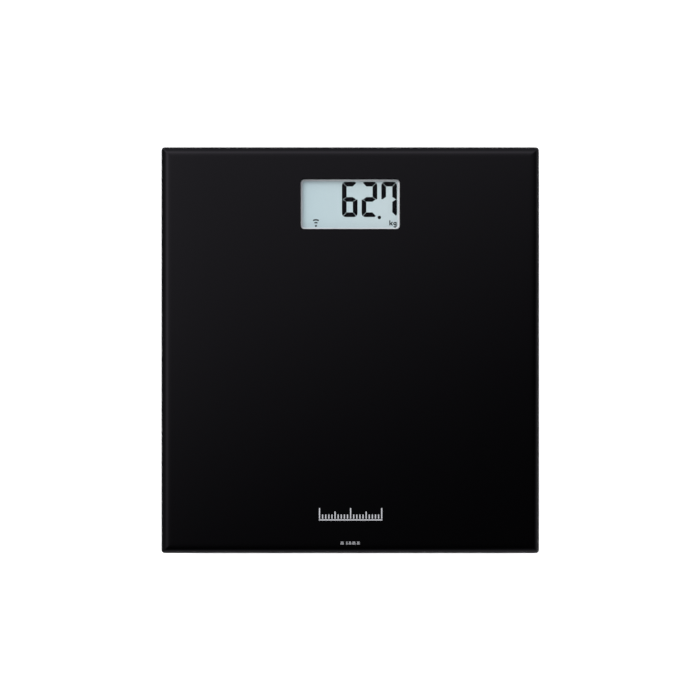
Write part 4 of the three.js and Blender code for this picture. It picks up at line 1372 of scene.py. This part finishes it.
def wireless_module():
    """A small board with a shielding can and a printed aerial of five arms on a spine."""
    base = ON_BOARD + 0.7
    copper = ON_BOARD + 0.81  # only metal is above this
    can = soft_block(46.1, 54.6, 113.0, 121.8, ON_BOARD + 0.6, ON_BOARD + 2.2, 0.25)
    carrier = block(45.5, 57.5, 112.4, 122.4, ON_BOARD, ON_BOARD + 0.8)
    x0, x1, y0, pitch, line = 55.2, 57.2, 113.4, 1.8, 0.7
    aerial = [block(x0, x1, y0 + i * pitch, y0 + i * pitch + line, base, ON_BOARD + 0.85) for i in range(5)]
    spine = block(x0, x0 + 0.5, y0, 121.3, base, ON_BOARD + 0.84)

    def is_metal(face):
        return int(face.center.z / MM > copper)

    module = join([carrier, can, *aerial, spine])
    piece("wireless_board", module, ["board", "nickel"], ["wireless_module"], by_face=is_metal)


def tact_switch():
    """The square switch under the board, with the plunger that the unit button presses."""
    half, depth, plunger, tip = 3, 2, 1.7, 0.2
    top, low = BOARD.z0 - SEAT, 8.2
    x, y = BUTTON.x, BUTTON.y
    case = slab(x, y, half, half, top - depth, top, 0.2)
    profile = [(0, low), (plunger - tip, low), (plunger, low + tip), (plunger, top - 1), (0, top - 1)]
    piece("tact_switch", join([case, lathe(profile, x, y, 32)]), "chip", ["unit_switch"])


def elastomer_strip():
    """The conductive rubber that joins the display's contacts to the board."""
    half_length, half, from_middle = 34, 1.2, 18.2
    strip = slab(0, WINDOW["y"] - from_middle, half_length, half, ON_BOARD, LCD.z0 - SEAT, 0.2)
    piece("contact_strip", strip, "elastomer", ["elastomer_connector"])


# ---- Batteries and contacts ----
CELL_Z = 12
CELL_LENGTH = 44.5
CONTACT = {"thick": 0.5, "front": BAY["y0"] + 0.7, "back": BAY["y1"] - 0.7}


def cell_x(number):
    return (number - 2.5) * PITCH


def positive_at_back(number):
    return number % 2 == 1


def battery(number):
    """A steel can in a shrink sleeve that turns in over both ends."""
    sleeve_mouth, low_end, high_end = 4.14, 0.3, 43  # bare metal lies inside and beyond these
    profile = [(0, 0), (3.3, 0), (3.6, 0.25), (4.1, 0.25), (4.15, 0.02), (4.85, 0.02)]
    profile += rounded_corner(0.4, 4.85, 0.42, -90, 4)[1:]
    profile += rounded_corner(0.4, 4.85, 42.86, 0, 4) + [(4.2, 43.26), (4.15, 43.1), (2.5, 43.1)]
    profile += [(2.1, 43.2), (1.9, 43.45), (1.9, 44.2)] + rounded_corner(0.3, 1.6, 44.2, 0, 3)[1:]
    profile.append((0, CELL_LENGTH))
    back = positive_at_back(number)
    way = Matrix.Rotation(-math.pi / 2 if back else math.pi / 2, 4, "X")
    start = CONTACT["back"] - SEAT - CELL_LENGTH if back else CONTACT["front"] + SEAT + CELL_LENGTH
    place = Matrix.Translation(Vector((cell_x(number), start, CELL_Z)) * MM) @ way

    def is_bare(face):
        x, y, z = face.center / MM
        return int(math.hypot(x, y) < sleeve_mouth and (z < low_end or z > high_end))

    piece(f"aaa_{number}", lathe(profile, facets=64), ["sleeve", "nickel"], [f"battery_{number}"],
          place=place, by_face=is_bare)


def battery_spring(number):
    """A conical coil that closes flat at both ends."""
    wire, wide, narrow, coils, length = 0.4, 3.3, 2.2, 2.75, 5.0
    flat, creep, steps = 0.13, 0.06, 110  # shares: of the wire in each flat end, and of the rise that is even
    back = positive_at_back(number)
    base = CONTACT["front"] + SEAT + wire if back else CONTACT["back"] - SEAT - wire
    tip = base + (length if back else -length)
    points = []
    for i in range(steps + 1):
        t = i / steps
        rise = min(max((t - flat) / (1 - 2 * flat), 0), 1)
        radius = wide + (narrow - wide) * t
        angle = 2 * math.pi * coils * t
        y = base + (tip - base) * (rise * (1 - creep) + t * creep)
        points.append((cell_x(number) + radius * math.cos(angle), y, CELL_Z + radius * math.sin(angle)))
    piece(f"spring_{number}", tube(points, wire, 12), "nickel", [f"battery_spring_{number}"])


def contact(name, node, numbers, back, tail=False):
    """A sprung plate behind one cell, or behind two that it joins."""
    half, bridge, soft = 3.8, 1, 0.12
    y = CONTACT["back"] if back else CONTACT["front"] - CONTACT["thick"]
    end = y + CONTACT["thick"]
    xs = [cell_x(number) for number in numbers]
    parts = [soft_block(x - half, x + half, y, end, CELL_Z - half, CELL_Z + half, soft) for x in xs]
    parts.append(block(xs[0] - bridge, xs[-1] + bridge, y, end, CELL_Z - bridge, CELL_Z + half - 0.13))
    if tail:
        x, reach, low, high = 1.5, BAY["y1"] + BAY["wall"] + 1.4, 12.8, 13.4
        parts.append(soft_block(xs[0] - x, xs[0] + x, CONTACT["back"] + 0.1, reach, low, high, soft))
    piece(name, join(parts), "nickel", [node])


for corner in CORNERS:
    load_cell(corner)
    cell_lead(corner)
main_board()
for number, (x, y) in enumerate(BOSSES, 1):
    board_screw(number, x, y)
controller()
wireless_module()
tact_switch()
elastomer_strip()
for number in range(1, 5):
    battery(number)
    battery_spring(number)
contact("link_front_left", "bridge_front_left", (1, 2), False)
contact("link_front_right", "bridge_front_right", (3, 4), False)
contact("link_back", "bridge_back", (2, 3), True)
contact("tag_positive", "terminal_positive", (1,), True, tail=True)
contact("tag_negative", "terminal_negative", (4,), True, tail=True)
supply_lead("positive", cell_x(1), "red")
supply_lead("negative", cell_x(4), "black")


# ---- The CAD node that keeps its shape ----
def dress(name, look):
    """Gives a CAD node a finished material."""
    mesh = frame["nodes"][name].data
    mesh.materials.clear()
    mesh.materials.append(LOOK[look])


dress("bond_tape", "foam")

boxes = {"cad": CAD_BOX, "visual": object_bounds()}
{key: [list(low), list(high)] for key, (low, high) in boxes.items()}
